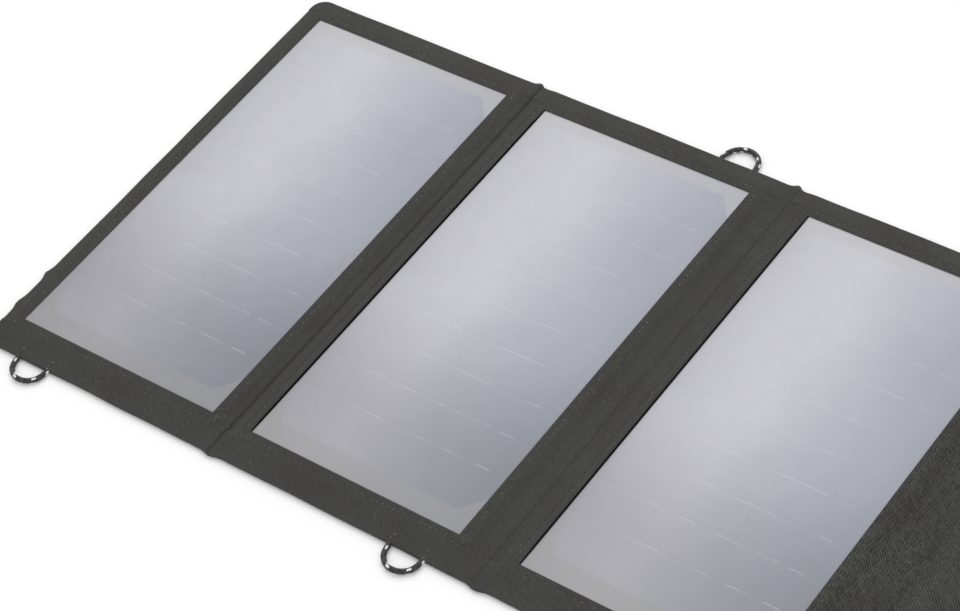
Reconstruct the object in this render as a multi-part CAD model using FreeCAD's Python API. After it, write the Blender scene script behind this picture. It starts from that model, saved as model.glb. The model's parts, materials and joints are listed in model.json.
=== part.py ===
"""Folding three-panel solar charger with a storage pouch, opened flat on a table.

Four fabric sections lie in a row along X: panel 1, panel 2, panel 3 and the pouch base.
Millimetres, +Z up, Y towards the back hem. The origin is at the middle of the underside.
"""
import FreeCAD, Part
import math
import os

V = FreeCAD.Vector

# ---- driving dimensions ----
window_width = 125.0          # a window shows one 125 mm cell's width
window_length = 240.0
height = 274.0                # across the hems, front to back
front_border = 19.0
left_border = 12.0
window_to_fold_1 = 12.0       # window 1 to fold 1, and fold 1 to window 2
window_to_fold_2 = 20.0
fold_2_to_window = 14.0
window_to_fold_3 = 16.5
base_length = 150.5
corner_radius = 8.0

fabric = 0.6
hem_width = 6.0
hem_height = 2.0
overlap = 4.0                 # how far the cover laps over a laminate's edge
padding_height = 1.5
backing_height = 1.2
cell_height = 0.25
film_height = 0.4
fold_slit = 0.4               # the fabric's bend itself is left out of the rigid sections
# half of each fold's flexible strip, from the left: the leads' own bends there are left out too
fold_bends = (8.0, 5.0, 12.5)

cell_strips = 10
end_strip = 26.0
strip_gap = 0.8
strips_from_back = 7.2        # the window's back edge to the first strip
strips_from_front = 11.2
cell_corner = 11.0

lead_radius = 0.6
lead_lanes = (1.2, 3.2)       # the two leads' distances from the laminate's back edge
lead_bend = 3.0
lead_channel = 4.4

stiffener_height = 2.0
pouch_wall = 0.8
pouch_inside = 12.0
pouch_slope_x = 18.0
pouch_slope_y = 10.0
mouth_length = 90.0
mouth_width = 40.0
strip_height = 0.4            # each half of the hook-and-loop closure
flap_height = 0.9
flap_length = 70.0

cord = 2.8
# one cord loop: distance along the hem, distance out from it
loop_route = [(-9.8, 0.0), (-9.8, 4.6), (-5.6, 9.6), (0.6, 11.3), (6.4, 9.0), (9.6, 4.4), (9.6, 0.0)]

# ---- worked out from them ----
half_height = height / 2
section_1 = left_border + window_width + window_to_fold_1
section_2 = window_to_fold_1 + window_width + window_to_fold_2
section_3 = fold_2_to_window + window_width + window_to_fold_3
length = section_1 + section_2 + section_3 + base_length
x_left = -length / 2
x_fold_1 = x_left + section_1
x_fold_2 = x_fold_1 + section_2
x_fold_3 = x_fold_2 + section_3
x_right = length / 2

y_window = (-half_height + front_border, -half_height + front_border + window_length)
y_laminate = (y_window[0] - overlap, y_window[1] + overlap)
z_padding = fabric
z_backing = z_padding + padding_height
z_cells = z_backing + backing_height
z_film = z_cells + cell_height
z_cover = z_film + film_height
panel_top = z_cover + fabric
z_hem = fabric + hem_height
hem_top = z_hem + fabric
z_lead = fabric + lead_radius + 0.15

os.makedirs("parts", exist_ok=True)


# ---- shapes ----
def block(x, y, z):
    """A box between two x, two y and two z values."""
    return Part.makeBox(x[1] - x[0], y[1] - y[0], z[1] - z[0], V(x[0], y[0], z[0]))


def rod(x, y, z, radius):
    """An upright round rod between two z values."""
    return Part.makeCylinder(radius, z[1] - z[0], V(x, y, z[0]))


def joined(shapes):
    whole = shapes[0]
    for shape in shapes[1:]:
        whole = whole.fuse(shape)
    return whole.removeSplitter()


def save(name, *solids):
    """Writes one sub-part, which may be a group of separate solids."""
    shape = solids[0] if len(solids) == 1 else Part.makeCompound(list(solids))
    if not shape.isValid() or not shape.Solids:
        raise ValueError(name + " is not a valid solid")
    shape.exportStep("parts/" + name + ".step")
    print(name, round(shape.Volume), "mm3 in", len(shape.Solids))


def outline(section, inset, z):
    """The section's plan, inset from its hemmed edges, with its hemmed corners rounded."""
    left = section["left_hem"]
    right = section["right_hem"]
    x = (section["x"][0] + inset * left, section["x"][1] - inset * right)
    y = (-half_height + inset, half_height - inset)
    plan = block(x, y, z)
    if not left and not right:
        return plan
    x_round = x[0] if left else x[1]
    corners = []
    for edge in plan.Edges:
        ends = [vertex.Point for vertex in edge.Vertexes]
        upright = abs(ends[0].z - ends[1].z) > abs(ends[0].x - ends[1].x) + abs(ends[0].y - ends[1].y)
        if upright and abs(ends[0].x - x_round) < 0.01:
            corners.append(edge)
    return plan.makeFillet(corner_radius - inset, corners)


def hem_bars(section, grow):
    """The folded seam allowance along the hemmed edges, grown by the fabric that wraps it."""
    z = (fabric, z_hem + grow)
    return outline(section, fabric - grow, z).cut(outline(section, fabric + hem_width + grow, z))


def grown(x, y, z):
    """A cavity's box with the fabric around its sides and over its top."""
    return block((x[0] - fabric, x[1] + fabric), (y[0] - fabric, y[1] + fabric), (z[0], z[1] + fabric))


def front_cover(section, cavities, openings):
    """Fabric drawn over the hem and the cavities, and sewn down flat between them."""
    limits = outline(section, 0, (fabric, panel_top))
    skins = [outline(section, 0, (fabric, 2 * fabric)), hem_bars(section, fabric)]
    skins += [grown(*cavity).common(limits) for cavity in cavities]
    cover = joined(skins).cut(hem_bars(section, 0))
    for hole in [block(*cavity) for cavity in cavities] + openings:
        cover = cover.cut(hole)
    return cover


def bent_path(points, radius=None):
    """Straight runs joined by tangent arcs: of one radius, or each as large as its runs allow."""
    edges = []
    radii = []
    start = points[0]
    for before, corner, after in zip(points, points[1:], points[2:]):
        back = before - corner
        ahead = after - corner
        half_turn = (math.pi - back.getAngle(ahead)) / 2
        shorter = min(back.Length, ahead.Length)
        arc = radius or 0.45 * shorter / math.tan(half_turn)
        reach = arc * math.tan(half_turn)
        back.normalize()
        ahead.normalize()
        first = corner + back * reach
        last = corner + ahead * reach
        towards = (back + ahead).normalize()
        middle = corner + towards * (arc / math.cos(half_turn) - arc)
        edges.append(Part.LineSegment(start, first).toShape())
        edges.append(Part.Arc(first, middle, last).toShape())
        radii.append(round(arc, 1))
        start = last
    edges.append(Part.LineSegment(start, points[-1]).toShape())
    return Part.Wire(edges), radii


def tube(points, radius, bend=None):
    path, radii = bent_path(points, bend)
    circle = Part.makeCircle(radius, points[0], points[1] - points[0])
    solid = path.makePipeShell([Part.Wire(circle)], True, False)
    volume = math.pi * radius**2 * path.Length
    if abs(solid.Volume - volume) > 0.01 * volume:
        raise ValueError("a tube's volume is off its path's")
    return solid, radii, path.Length


# ---- solar panels ----
def cell_strip(x, y, back_corners, front_corners):
    """One cut cell. Only the end strips keep the wafer's cropped corners."""
    points = [V(x[0], y[0], z_cells), V(x[1], y[0], z_cells), V(x[1], y[1], z_cells), V(x[0], y[1], z_cells)]
    crop = cell_corner
    if front_corners:
        points[0:2] = [
            V(x[0], y[0] + crop, z_cells), V(x[0] + crop, y[0], z_cells),
            V(x[1] - crop, y[0], z_cells), V(x[1], y[0] + crop, z_cells),
        ]
    if back_corners:
        points[-2:] = [
            V(x[1], y[1] - crop, z_cells), V(x[1] - crop, y[1], z_cells),
            V(x[0] + crop, y[1], z_cells), V(x[0], y[1] - crop, z_cells),
        ]
    face = Part.Face(Part.makePolygon(points + [points[0]]))
    return face.extrude(V(0, 0, cell_height))


def strip_edges():
    """The y values where one strip ends and the next begins, from front to back."""
    first = y_window[0] + strips_from_front
    last = y_window[1] - strips_from_back
    pitch = (last - first - 2 * end_strip) / (cell_strips - 2)
    return [first] + [first + end_strip + pitch * i for i in range(cell_strips - 1)] + [last]


def solar_laminate(name, x_window):
    """The film, the cells with their ribbons, and the board that they are bonded to."""
    x = (x_window[0] - overlap, x_window[1] + overlap)
    edges = strip_edges()
    strips = []
    for i in range(cell_strips):
        y = (edges[i] + strip_gap / 2 * (i > 0), edges[i + 1] - strip_gap / 2 * (i < cell_strips - 1))
        strips.append(cell_strip(x_window, y, i == cell_strips - 1, i == 0))

    ribbon_height = 0.2
    bus_width = 4.0
    ribbons = []
    for y_bus in (edges[0] - bus_width - 1, edges[-1] + 1):
        x_bus = (x_window[0] + 6, x_window[1] - 6)
        ribbons.append(block(x_bus, (y_bus, y_bus + bus_width), (z_cells, z_cells + ribbon_height)))
    for y_gap in edges[1:-1]:
        for share in (0.2, 0.5, 0.8):
            x_tab = x_window[0] + share * window_width
            y_tab = (y_gap - strip_gap / 2, y_gap + strip_gap / 2)
            ribbons.append(block((x_tab - 1, x_tab + 1), y_tab, (z_cells, z_cells + ribbon_height)))

    save(name + "_film", block(x, y_laminate, (z_film, z_cover)))
    save(name + "_cells", *strips)
    save(name + "_ribbons", *ribbons)
    save(name + "_backing", block(x, y_laminate, (z_backing, z_cells)))


terminal_size = (24.0, 9.0, 0.6)
terminal_inset = 4.0          # the terminal board's edge from the laminate's back edge
diode_size = (4.4, 2.6, 0.8)


def terminals(name, x_window):
    """The padding with its notch, and the terminal board and blocking diode inside that notch."""
    x = (x_window[0] - overlap, x_window[1] + overlap)
    x_board = (x_window[1] - 10 - terminal_size[0], x_window[1] - 10)
    y_board = (y_laminate[1] - terminal_inset - terminal_size[1], y_laminate[1] - terminal_inset)
    z_board = (z_backing - terminal_size[2], z_backing)
    notch = block((x_board[0] - 1, x_board[1] + 1), (y_board[0] - 1, y_laminate[1] + 1), (0, z_backing))
    save(name + "_padding", block(x, y_laminate, (z_padding, z_backing)).cut(notch))
    save(name + "_terminal_board", block(x_board, y_board, z_board))

    x_diode = (x_board[0] + 2, x_board[0] + 2 + diode_size[0])
    y_diode = (y_board[0] + 2, y_board[0] + 2 + diode_size[1])
    save(name + "_diode", block(x_diode, y_diode, (z_board[0] - diode_size[2], z_board[0])))
    return x_board, y_board[1]


def panel_leads(section, x_board, y_board, has_incoming):
    """The pair of leads, from the last section to the terminal board and on to the next section."""
    lanes = [y_laminate[1] + lane for lane in lead_lanes]
    wires = []
    for i, y_lane in enumerate(lanes):
        x_out = x_board[1] - 4 - 4 * i
        out = [V(x_out, y_board, z_lead), V(x_out, y_lane, z_lead), V(section["leads"][1], y_lane, z_lead)]
        wires.append(tube(out, lead_radius, lead_bend)[0])
        if has_incoming:
            x_in = x_board[0] + 4 + 4 * i
            back = [V(section["leads"][0], y_lane, z_lead), V(x_in, y_lane, z_lead), V(x_in, y_board, z_lead)]
            wires.append(tube(back, lead_radius, lead_bend)[0])
    save(section["name"] + "_leads", *wires)


def lead_tunnel(section):
    y = (y_laminate[1], y_laminate[1] + lead_channel)
    return (section["x"][0], section["x"][1]), y, (fabric, z_hem)


def solar_section(section):
    name = section["name"]
    x_window = (section["window"], section["window"] + window_width)
    cavity = ((x_window[0] - overlap, x_window[1] + overlap), y_laminate, (fabric, z_cover))
    window = block(x_window, y_window, (z_film, panel_top + 1))
    save(name + "_front_cover", front_cover(section, [cavity, lead_tunnel(section)], [window]))
    save(name + "_back_cover", outline(section, 0, (0, fabric)))
    save(name + "_hem", *hem_bars(section, 0).Solids)
    solar_laminate(name, x_window)
    x_board, y_board = terminals(name, x_window)
    panel_leads(section, x_board, y_board, section["name"] != "panel_1")


def section_of(name, x_start, x_end, bends, window=None):
    """One section between two x values; bends are its folds' half widths, and 0 at a hemmed end."""
    left_hem, right_hem = (bend == 0 for bend in bends)
    x = (x_start + fold_slit / 2 * (not left_hem), x_end - fold_slit / 2 * (not right_hem))
    leads = (x_start + bends[0], x_end - bends[1])
    section = {"name": name, "x": x, "leads": leads, "window": window}
    return {**section, "left_hem": left_hem, "right_hem": right_hem}


panels = [
    section_of("panel_1", x_left, x_fold_1, (0, fold_bends[0]), x_left + left_border),
    section_of("panel_2", x_fold_1, x_fold_2, fold_bends[:2], x_fold_1 + window_to_fold_1),
    section_of("panel_3", x_fold_2, x_fold_3, fold_bends[1:], x_fold_2 + fold_2_to_window),
]
for panel in panels:
    solar_section(panel)


# ---- pouch base ----
base = section_of("base", x_fold_3, x_right, (fold_bends[2], 0))
x_stiffener = (x_fold_3 + fold_bends[2], x_right - 8)
y_stiffener = (-126.0, y_laminate[1])
base_top = z_hem + fabric

x_controller = (x_right - 114, x_right - 82)
y_controller = (40.0, 100.0)
x_lead_hole = x_controller[0] + 14
y_lead_hole = y_controller[1] + 4.5
lead_hole = block(
    (x_lead_hole - 2.5, x_lead_hole + 2.5), (y_lead_hole - 2, y_lead_hole + 1.5), (fabric, base_top + 1)
)
lead_groove = block(
    (x_lead_hole - 2.5, x_lead_hole + 2.5), (y_lead_hole - 2, y_laminate[1] + 1), (0, z_hem)
)
base_cavity = (x_stiffener, y_stiffener, (fabric, z_hem))
save("base_front_cover", front_cover(base, [base_cavity, lead_tunnel(base)], [lead_hole]))
save("base_back_cover", outline(base, 0, (0, fabric)))
save("base_hem", *hem_bars(base, 0).Solids)
save("base_stiffener", block(x_stiffener, y_stiffener, (fabric, z_hem)).cut(lead_groove))


# ---- pouch ----
x_pouch = (x_fold_3 + 14.5, x_right - 8)
y_pouch = (-122.0, 122.0)
pouch_top = base_top + pouch_inside + pouch_wall


def sloped_box(inset, z_low, z_high):
    """A box whose four sides lean in as they rise, as the pouch's soft sides do."""
    lean_x = pouch_slope_x / (pouch_top - base_top)
    lean_y = pouch_slope_y / (pouch_top - base_top)
    corners = []
    for z in (z_low, z_high):
        rise = z - base_top
        x = (x_pouch[0] + inset + lean_x * rise, x_pouch[1] - inset - lean_x * rise / 2)
        y = (y_pouch[0] + inset + lean_y * rise, y_pouch[1] - inset - lean_y * rise)
        corners.append([V(x[0], y[0], z), V(x[1], y[0], z), V(x[1], y[1], z), V(x[0], y[1], z)])
    low, high = corners
    rings = [low, high] + [[low[i], low[i - 3], high[i - 3], high[i]] for i in range(4)]
    faces = [Part.Face(Part.makePolygon(ring + [ring[0]])) for ring in rings]
    solid = Part.Solid(Part.Shell(faces))
    if solid.Volume < 0:
        solid.reverse()
    return solid


x_middle = (x_pouch[0] + pouch_slope_x + x_pouch[1] - pouch_slope_x / 2) / 2
y_top_back = y_pouch[1] - pouch_slope_y
x_mouth = (x_middle - mouth_length / 2, x_middle + mouth_length / 2)
y_mouth = (y_top_back - 6 - mouth_width, y_top_back - 6)
pouch = sloped_box(0, base_top, pouch_top).cut(sloped_box(pouch_wall, base_top - 0.1, pouch_top - pouch_wall))
pouch = pouch.cut(block(x_mouth, y_mouth, (base_top, pouch_top + 1)))
save("pouch_shell", pouch)

y_closure = (y_mouth[0] - 20, y_mouth[0] - 4)
z_loops = (pouch_top, pouch_top + strip_height)
z_hooks = (z_loops[1] + 0.2, z_loops[1] + 0.2 + strip_height)
z_flap = (z_hooks[1], z_hooks[1] + flap_height)
save("pouch_loop_strip", block(x_mouth, y_closure, z_loops))
save("flap_hook_strip", block(x_mouth, y_closure, z_hooks))
x_flap = (x_mouth[0] - 8, x_mouth[1] + 8)
save("pouch_flap", block(x_flap, (y_top_back - flap_length, y_top_back), z_flap))


# ---- charge controller inside the pouch ----
shell_wall = 1.4
half_shell = 5.5
z_split = base_top + half_shell
z_lid_top = z_split + half_shell
usb_outer = (14.0, 13.2, 5.8)
usb_wall = 0.35
y_usb = (y_controller[0] + 16, y_controller[0] + 44)
post_inset = 3.8
post_radius = 2.2
screw_radius = 0.9
screw_head = (1.8, 1.0)
board_height = 1.2


def post_places():
    for x in (x_controller[0] + post_inset, x_controller[1] - post_inset):
        for y in (y_controller[0] + post_inset, y_controller[1] - post_inset):
            yield x, y


def usb_block(y, grow, x_reach=0.0):
    x_front = x_controller[1] + 0.5 + x_reach
    return block(
        (x_front - usb_outer[0] - x_reach, x_front),
        (y - usb_outer[1] / 2 + grow, y + usb_outer[1] / 2 - grow),
        (z_split - usb_outer[2] / 2 + grow, z_split + usb_outer[2] / 2 - grow),
    )


grommet_z = base_top + 4.8
grommet_body = block(
    (x_lead_hole - 3.2, x_lead_hole + 3.2),
    (y_controller[1] - shell_wall - 0.6, y_controller[1] + 1.2),
    (grommet_z - 1.6, grommet_z + 1.6),
)
light_pipe_radius = 1.2
x_light = x_controller[0] + 9
y_light = y_controller[1] - 9


def half_case(z, is_lid):
    """One half of the controller's case, with its posts and its cut-outs."""
    outer = block(x_controller, y_controller, z)
    x_in = (x_controller[0] + shell_wall, x_controller[1] - shell_wall)
    y_in = (y_controller[0] + shell_wall, y_controller[1] - shell_wall)
    z_in = (z[0], z[1] - shell_wall) if is_lid else (z[0] + shell_wall, z[1])
    case = outer.cut(block(x_in, y_in, z_in))
    for x, y in post_places():
        case = case.fuse(rod(x, y, z_in, post_radius))
    for x, y in post_places():
        z_hole = (z[0], z[1]) if is_lid else (z[0] + shell_wall, z[1])
        case = case.cut(rod(x, y, z_hole, screw_radius))
        if is_lid:
            case = case.cut(rod(x, y, (z[1] - screw_head[1], z[1]), screw_head[0]))
    for y in y_usb:
        case = case.cut(usb_block(y, 0, 2))
    if is_lid:
        case = case.cut(rod(x_light, y_light, z, light_pipe_radius))
    return case.cut(grommet_body).removeSplitter()


save("controller_base", half_case((base_top, z_split), False))
save("controller_lid", half_case((z_split, z_lid_top), True))

z_board_top = z_split - usb_outer[2] / 2
z_circuit = (z_board_top - board_height, z_board_top)
circuit = block(
    (x_controller[0] + 2, x_controller[1] - 2), (y_controller[0] + 2, y_controller[1] - 2), z_circuit
)
for x_post, y_post in post_places():
    post_room = post_radius + 0.2
    x_corner = (x_post - post_room, x_post + post_room)
    y_corner = (y_post - post_room, y_post + post_room)
    circuit = circuit.cut(block(x_corner, y_corner, z_circuit))
save("controller_circuit_board", circuit)

save("controller_usb_shells", *[usb_block(y, 0).cut(usb_block(y, usb_wall, 1)) for y in y_usb])
tongues = []
for y in y_usb:
    tongues.append(
        block((x_controller[1] - 9, x_controller[1] - 0.5), (y - 5.5, y + 5.5), (z_split + 0.2, z_split + 2))
    )
save("controller_usb_tongues", *tongues)

x_parts = x_controller[0] + 8
save("controller_inductor", rod(x_parts, y_controller[0] + 26, (z_board_top, z_board_top + 4.5), 4.0))
save("controller_capacitors", *[
    rod(x_parts, y_controller[0] + y, (z_board_top, z_board_top + 5.5), 2.5) for y in (16, 37)
])
chip_y = [y_controller[0] + y for y in (24, 31)]
z_chips = (z_board_top, z_board_top + 1.2)
save("controller_chips", *[block((x_parts + 7, x_parts + 12), (y, y + 4), z_chips) for y in chip_y])
z_light = z_board_top + 1
save("controller_status_lamp", block(
    (x_light - 1, x_light + 1), (y_light - 1, y_light + 1), (z_board_top, z_light)
))
save("controller_light_pipe", rod(x_light, y_light, (z_light, z_lid_top + 0.3), light_pipe_radius))
screws = []
for x_post, y_post in post_places():
    shank = rod(x_post, y_post, (base_top + shell_wall + 0.5, z_lid_top - screw_head[1]), screw_radius)
    head = rod(x_post, y_post, (z_lid_top - screw_head[1], z_lid_top), screw_head[0])
    z_slot = (z_lid_top - 0.5, z_lid_top + 1)
    slot = block((x_post - 1.2, x_post + 1.2), (y_post - 0.2, y_post + 0.2), z_slot)
    cross = block((x_post - 0.2, x_post + 0.2), (y_post - 1.2, y_post + 1.2), z_slot)
    screws.append(shank.fuse(head).cut(slot).cut(cross).removeSplitter())
save("controller_screws", *screws)

base_wires = []
grommet = grommet_body
for i, lane in enumerate(lead_lanes):
    x_wire = x_lead_hole + 2.4 * i - 1.2
    y_lane = y_laminate[1] + lane
    y_end = y_controller[1] - shell_wall - 0.6
    route = [
        V(base["leads"][0], y_lane, z_lead), V(x_wire, y_lane, z_lead), V(x_wire, y_lead_hole, z_lead),
        V(x_wire, y_lead_hole, grommet_z), V(x_wire, y_end, grommet_z),
    ]
    base_wires.append(tube(route, lead_radius, 2.2)[0])
    bore = Part.makeCylinder(lead_radius, 10, V(x_wire, y_end - 2, grommet_z), V(0, 1, 0))
    grommet = grommet.cut(bore)
save("base_leads", *base_wires)
save("controller_grommet", grommet)


# ---- cord loops ----
loop_height = hem_top / 2
x_loop_1 = x_left + 34.0
x_loop_2 = x_fold_2 - 37.0
x_loop_base = x_right - 34.0
loops = [
    ("panel_1_loop_front", x_loop_1, -1, 1),
    ("panel_2_loop_front", x_loop_2, -1, 1), ("panel_2_loop_back", x_loop_2, 1, 1),
    ("base_loop_front", x_loop_base, -1, -1), ("base_loop_back", x_loop_base, 1, 1),
]
for name, x_loop, side, lean in loops:
    points = [V(x_loop + lean * u, side * (half_height + v), loop_height) for u, v in loop_route]
    solid, radii, cord_length = tube(points, cord / 2)
    save(name, solid)
    print("  bend radii", radii, "length", round(cord_length, 1))

print("length", length, "folds at", x_fold_1, x_fold_2, x_fold_3)
print("windows at", [panel["window"] for panel in panels], "panel top", panel_top)
print("pouch top", pouch_top, "flap", z_flap, "hinge edge y", y_top_back, "flap x", x_flap)
print("mouth", x_mouth, y_mouth, "controller", x_controller, y_controller, z_lid_top)
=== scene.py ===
import json
import math
import bmesh
import bpy
from mathutils import Matrix, Vector, noise


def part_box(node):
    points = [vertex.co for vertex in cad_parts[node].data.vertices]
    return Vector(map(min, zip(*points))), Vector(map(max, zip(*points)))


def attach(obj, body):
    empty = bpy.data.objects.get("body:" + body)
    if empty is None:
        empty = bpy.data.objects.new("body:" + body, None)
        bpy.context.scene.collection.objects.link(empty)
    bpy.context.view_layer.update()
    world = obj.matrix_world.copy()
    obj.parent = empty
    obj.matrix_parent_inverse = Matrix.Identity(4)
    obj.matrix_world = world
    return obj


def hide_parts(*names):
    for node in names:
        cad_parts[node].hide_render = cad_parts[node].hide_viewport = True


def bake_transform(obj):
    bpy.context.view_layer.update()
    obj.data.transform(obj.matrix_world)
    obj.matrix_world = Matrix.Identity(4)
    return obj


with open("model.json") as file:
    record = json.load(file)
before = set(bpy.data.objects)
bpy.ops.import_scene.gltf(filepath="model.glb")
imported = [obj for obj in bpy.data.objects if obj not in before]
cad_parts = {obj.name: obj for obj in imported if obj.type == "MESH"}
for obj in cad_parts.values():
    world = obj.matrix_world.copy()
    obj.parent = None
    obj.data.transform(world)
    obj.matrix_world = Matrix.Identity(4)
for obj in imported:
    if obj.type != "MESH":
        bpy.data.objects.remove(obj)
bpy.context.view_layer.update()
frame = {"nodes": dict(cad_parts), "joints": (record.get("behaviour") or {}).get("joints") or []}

mm = 0.001


# camera

view = {
    "lens": 115.54,
    "position": (0.64498, -0.69208, 1.09305),
    "aim": (-0.09463, -0.00151, 0.0044),
    "roll": math.radians(-14.023),
}


def placeCamera():
    data = bpy.data.cameras.new("studioCamera")
    data.lens = view["lens"]
    data.clip_end = 20.0
    camera = bpy.data.objects.new("studioCamera", data)
    bpy.context.scene.collection.objects.link(camera)
    back = (Vector(view["position"]) - Vector(view["aim"])).normalized()
    level = Vector((0, 0, 1)).cross(back).normalized()
    upright = back.cross(level)
    roll = view["roll"]
    right = math.cos(roll) * level + math.sin(roll) * upright
    up = math.cos(roll) * upright - math.sin(roll) * level
    turn = Matrix((right, up, back)).transposed().to_4x4()
    camera.matrix_world = Matrix.Translation(view["position"]) @ turn
    bpy.context.scene.camera = camera


placeCamera()
print("camera placed")


# shader helpers

def newNode(tree, kind, values=None, **settings):
    node = tree.nodes.new(kind)
    for name, value in settings.items():
        setattr(node, name, value)
    for name, value in (values or {}).items():
        node.inputs[name].default_value = value
    return node


def joinSockets(tree, *pairs):
    for output, target in pairs:
        tree.links.new(output, target)


def mathNode(tree, operation, first, second=None):
    node = tree.nodes.new("ShaderNodeMath")
    node.operation = operation
    for socket, value in zip(node.inputs, (first, second)):
        if isinstance(value, (int, float)):
            socket.default_value = value
        elif value is not None:
            tree.links.new(value, socket)
    return node.outputs[0]


def softStep(tree, value, low, high, start=0.0, end=1.0):
    node = tree.nodes.new("ShaderNodeMapRange")
    node.interpolation_type = "SMOOTHSTEP"
    tree.links.new(value, node.inputs["Value"])
    for name, number in (("From Min", low), ("From Max", high), ("To Min", start), ("To Max", end)):
        node.inputs[name].default_value = number
    return node.outputs["Result"]


def mixColour(tree, amount, first, second, blend="MIX"):
    node = tree.nodes.new("ShaderNodeMix")
    node.data_type = "RGBA"
    node.blend_type = blend
    for socket, value in ((node.inputs[0], amount), (node.inputs[6], first), (node.inputs[7], second)):
        if isinstance(value, (int, float)):
            socket.default_value = value
        elif isinstance(value, tuple):
            socket.default_value = (*value[:3], 1.0)
        else:
            tree.links.new(value, socket)
    return node.outputs[2]


def newGroup(name, inputs, outputs):
    tree = bpy.data.node_groups.new(name, "ShaderNodeTree")
    for label, kind, value in inputs:
        socket = tree.interface.new_socket(name=label, in_out="INPUT", socket_type=kind)
        if value is not None:
            socket.default_value = value
    for label, kind in outputs:
        tree.interface.new_socket(name=label, in_out="OUTPUT", socket_type=kind)
    return tree, tree.nodes.new("NodeGroupInput"), tree.nodes.new("NodeGroupOutput")


def placeGroup(tree, group, values=None):
    node = tree.nodes.new("ShaderNodeGroup")
    node.node_tree = group
    for name, value in (values or {}).items():
        node.inputs[name].default_value = value
    return node


def newMaterial(name):
    material = bpy.data.materials.new(name)
    material.use_nodes = True
    tree = material.node_tree
    return material, tree, tree.nodes["Principled BSDF"]


def addBump(tree, shader, height, strength, distance):
    bump = newNode(tree, "ShaderNodeBump", {"Strength": strength, "Distance": distance})
    joinSockets(tree, (height, bump.inputs["Height"]), (bump.outputs["Normal"], shader.inputs["Normal"]))


# shared groups

def buildTwill():
    # one diagonal rib each pitch, broken into short floats by the crossing thread
    number = "NodeSocketFloat"
    tree, given, made = newGroup(
        "twillWeave",
        [("Vector", "NodeSocketVector", None), ("Pitch", number, 0.0018), ("Float", number, 0.0024)],
        [("Height", number), ("Thread", number), ("Blotch", number)],
    )
    wander = newNode(tree, "ShaderNodeTexNoise", {"Scale": 90.0, "Detail": 2.0})
    joinSockets(tree, (given.outputs["Vector"], wander.inputs["Vector"]))
    parts = newNode(tree, "ShaderNodeSeparateXYZ")
    joinSockets(tree, (given.outputs["Vector"], parts.inputs[0]))
    along = mathNode(tree, "MULTIPLY", mathNode(tree, "SUBTRACT", parts.outputs[0], parts.outputs[1]), 0.7071)
    across = mathNode(tree, "MULTIPLY", mathNode(tree, "ADD", parts.outputs[0], parts.outputs[1]), 0.7071)
    drift = mathNode(tree, "MULTIPLY", mathNode(tree, "SUBTRACT", wander.outputs["Fac"], 0.5), 0.0012)
    across = mathNode(tree, "ADD", across, drift)
    row = mathNode(tree, "DIVIDE", across, given.outputs["Pitch"])
    rib = mathNode(tree, "SINE", mathNode(tree, "MULTIPLY", row, 2 * math.pi))
    shift = mathNode(tree, "MULTIPLY", mathNode(tree, "FLOOR", mathNode(tree, "ADD", row, 0.25)), 2.3)
    step = mathNode(tree, "DIVIDE", along, given.outputs["Float"])
    step = mathNode(tree, "ADD", mathNode(tree, "MULTIPLY", step, 2 * math.pi), shift)
    crossing = mathNode(tree, "SINE", step)
    thread = mathNode(tree, "ADD", mathNode(tree, "MULTIPLY", rib, 0.34), 0.5)
    thread = mathNode(tree, "ADD", thread, mathNode(tree, "MULTIPLY", crossing, 0.16))
    cell = tree.nodes.new("ShaderNodeCombineXYZ")
    chance = newNode(tree, "ShaderNodeTexWhiteNoise", noise_dimensions="2D")
    joinSockets(
        tree,
        (mathNode(tree, "FLOOR", mathNode(tree, "ADD", row, 0.25)), cell.inputs[0]),
        (mathNode(tree, "FLOOR", mathNode(tree, "DIVIDE", step, 2 * math.pi)), cell.inputs[1]),
        (cell.outputs[0], chance.inputs["Vector"]),
    )
    uneven = mathNode(tree, "SUBTRACT", chance.outputs["Value"], 0.5)
    thread = mathNode(tree, "ADD", thread, mathNode(tree, "MULTIPLY", uneven, 0.5))
    fuzz = newNode(tree, "ShaderNodeTexNoise", {"Scale": 1400.0, "Detail": 3.0, "Roughness": 0.7})
    joinSockets(tree, (given.outputs["Vector"], fuzz.inputs["Vector"]))
    height = mathNode(tree, "ADD", thread, mathNode(tree, "MULTIPLY", fuzz.outputs["Fac"], 0.5))
    blotch = newNode(tree, "ShaderNodeTexNoise", {"Scale": 24.0, "Detail": 4.0, "Roughness": 0.6})
    joinSockets(
        tree,
        (given.outputs["Vector"], blotch.inputs["Vector"]),
        (height, made.inputs["Height"]),
        (thread, made.inputs["Thread"]),
        (blotch.outputs["Fac"], made.inputs["Blotch"]),
    )
    return tree


def buildDust():
    # pale lint and dust specks over any surface
    number = "NodeSocketFloat"
    tree, given, made = newGroup(
        "lintSpecks",
        [("Vector", "NodeSocketVector", None), ("Scale", number, 700.0), ("Amount", number, 0.3)],
        [("Mask", number)],
    )
    specks = newNode(tree, "ShaderNodeTexNoise", {"Detail": 1.0})
    clouds = newNode(tree, "ShaderNodeTexNoise", {"Scale": 18.0, "Detail": 2.0})
    joinSockets(
        tree,
        (given.outputs["Vector"], specks.inputs["Vector"]),
        (given.outputs["Scale"], specks.inputs["Scale"]),
        (given.outputs["Vector"], clouds.inputs["Vector"]),
    )
    sharp = softStep(tree, specks.outputs["Fac"], 0.66, 0.74)
    wide = softStep(tree, clouds.outputs["Fac"], 0.35, 0.75)
    mask = mathNode(tree, "MULTIPLY", mathNode(tree, "MULTIPLY", sharp, wide), given.outputs["Amount"])
    joinSockets(tree, (mask, made.inputs["Mask"]))
    return tree


twillGroup = buildTwill()
dustGroup = buildDust()


# fabric materials

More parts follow.
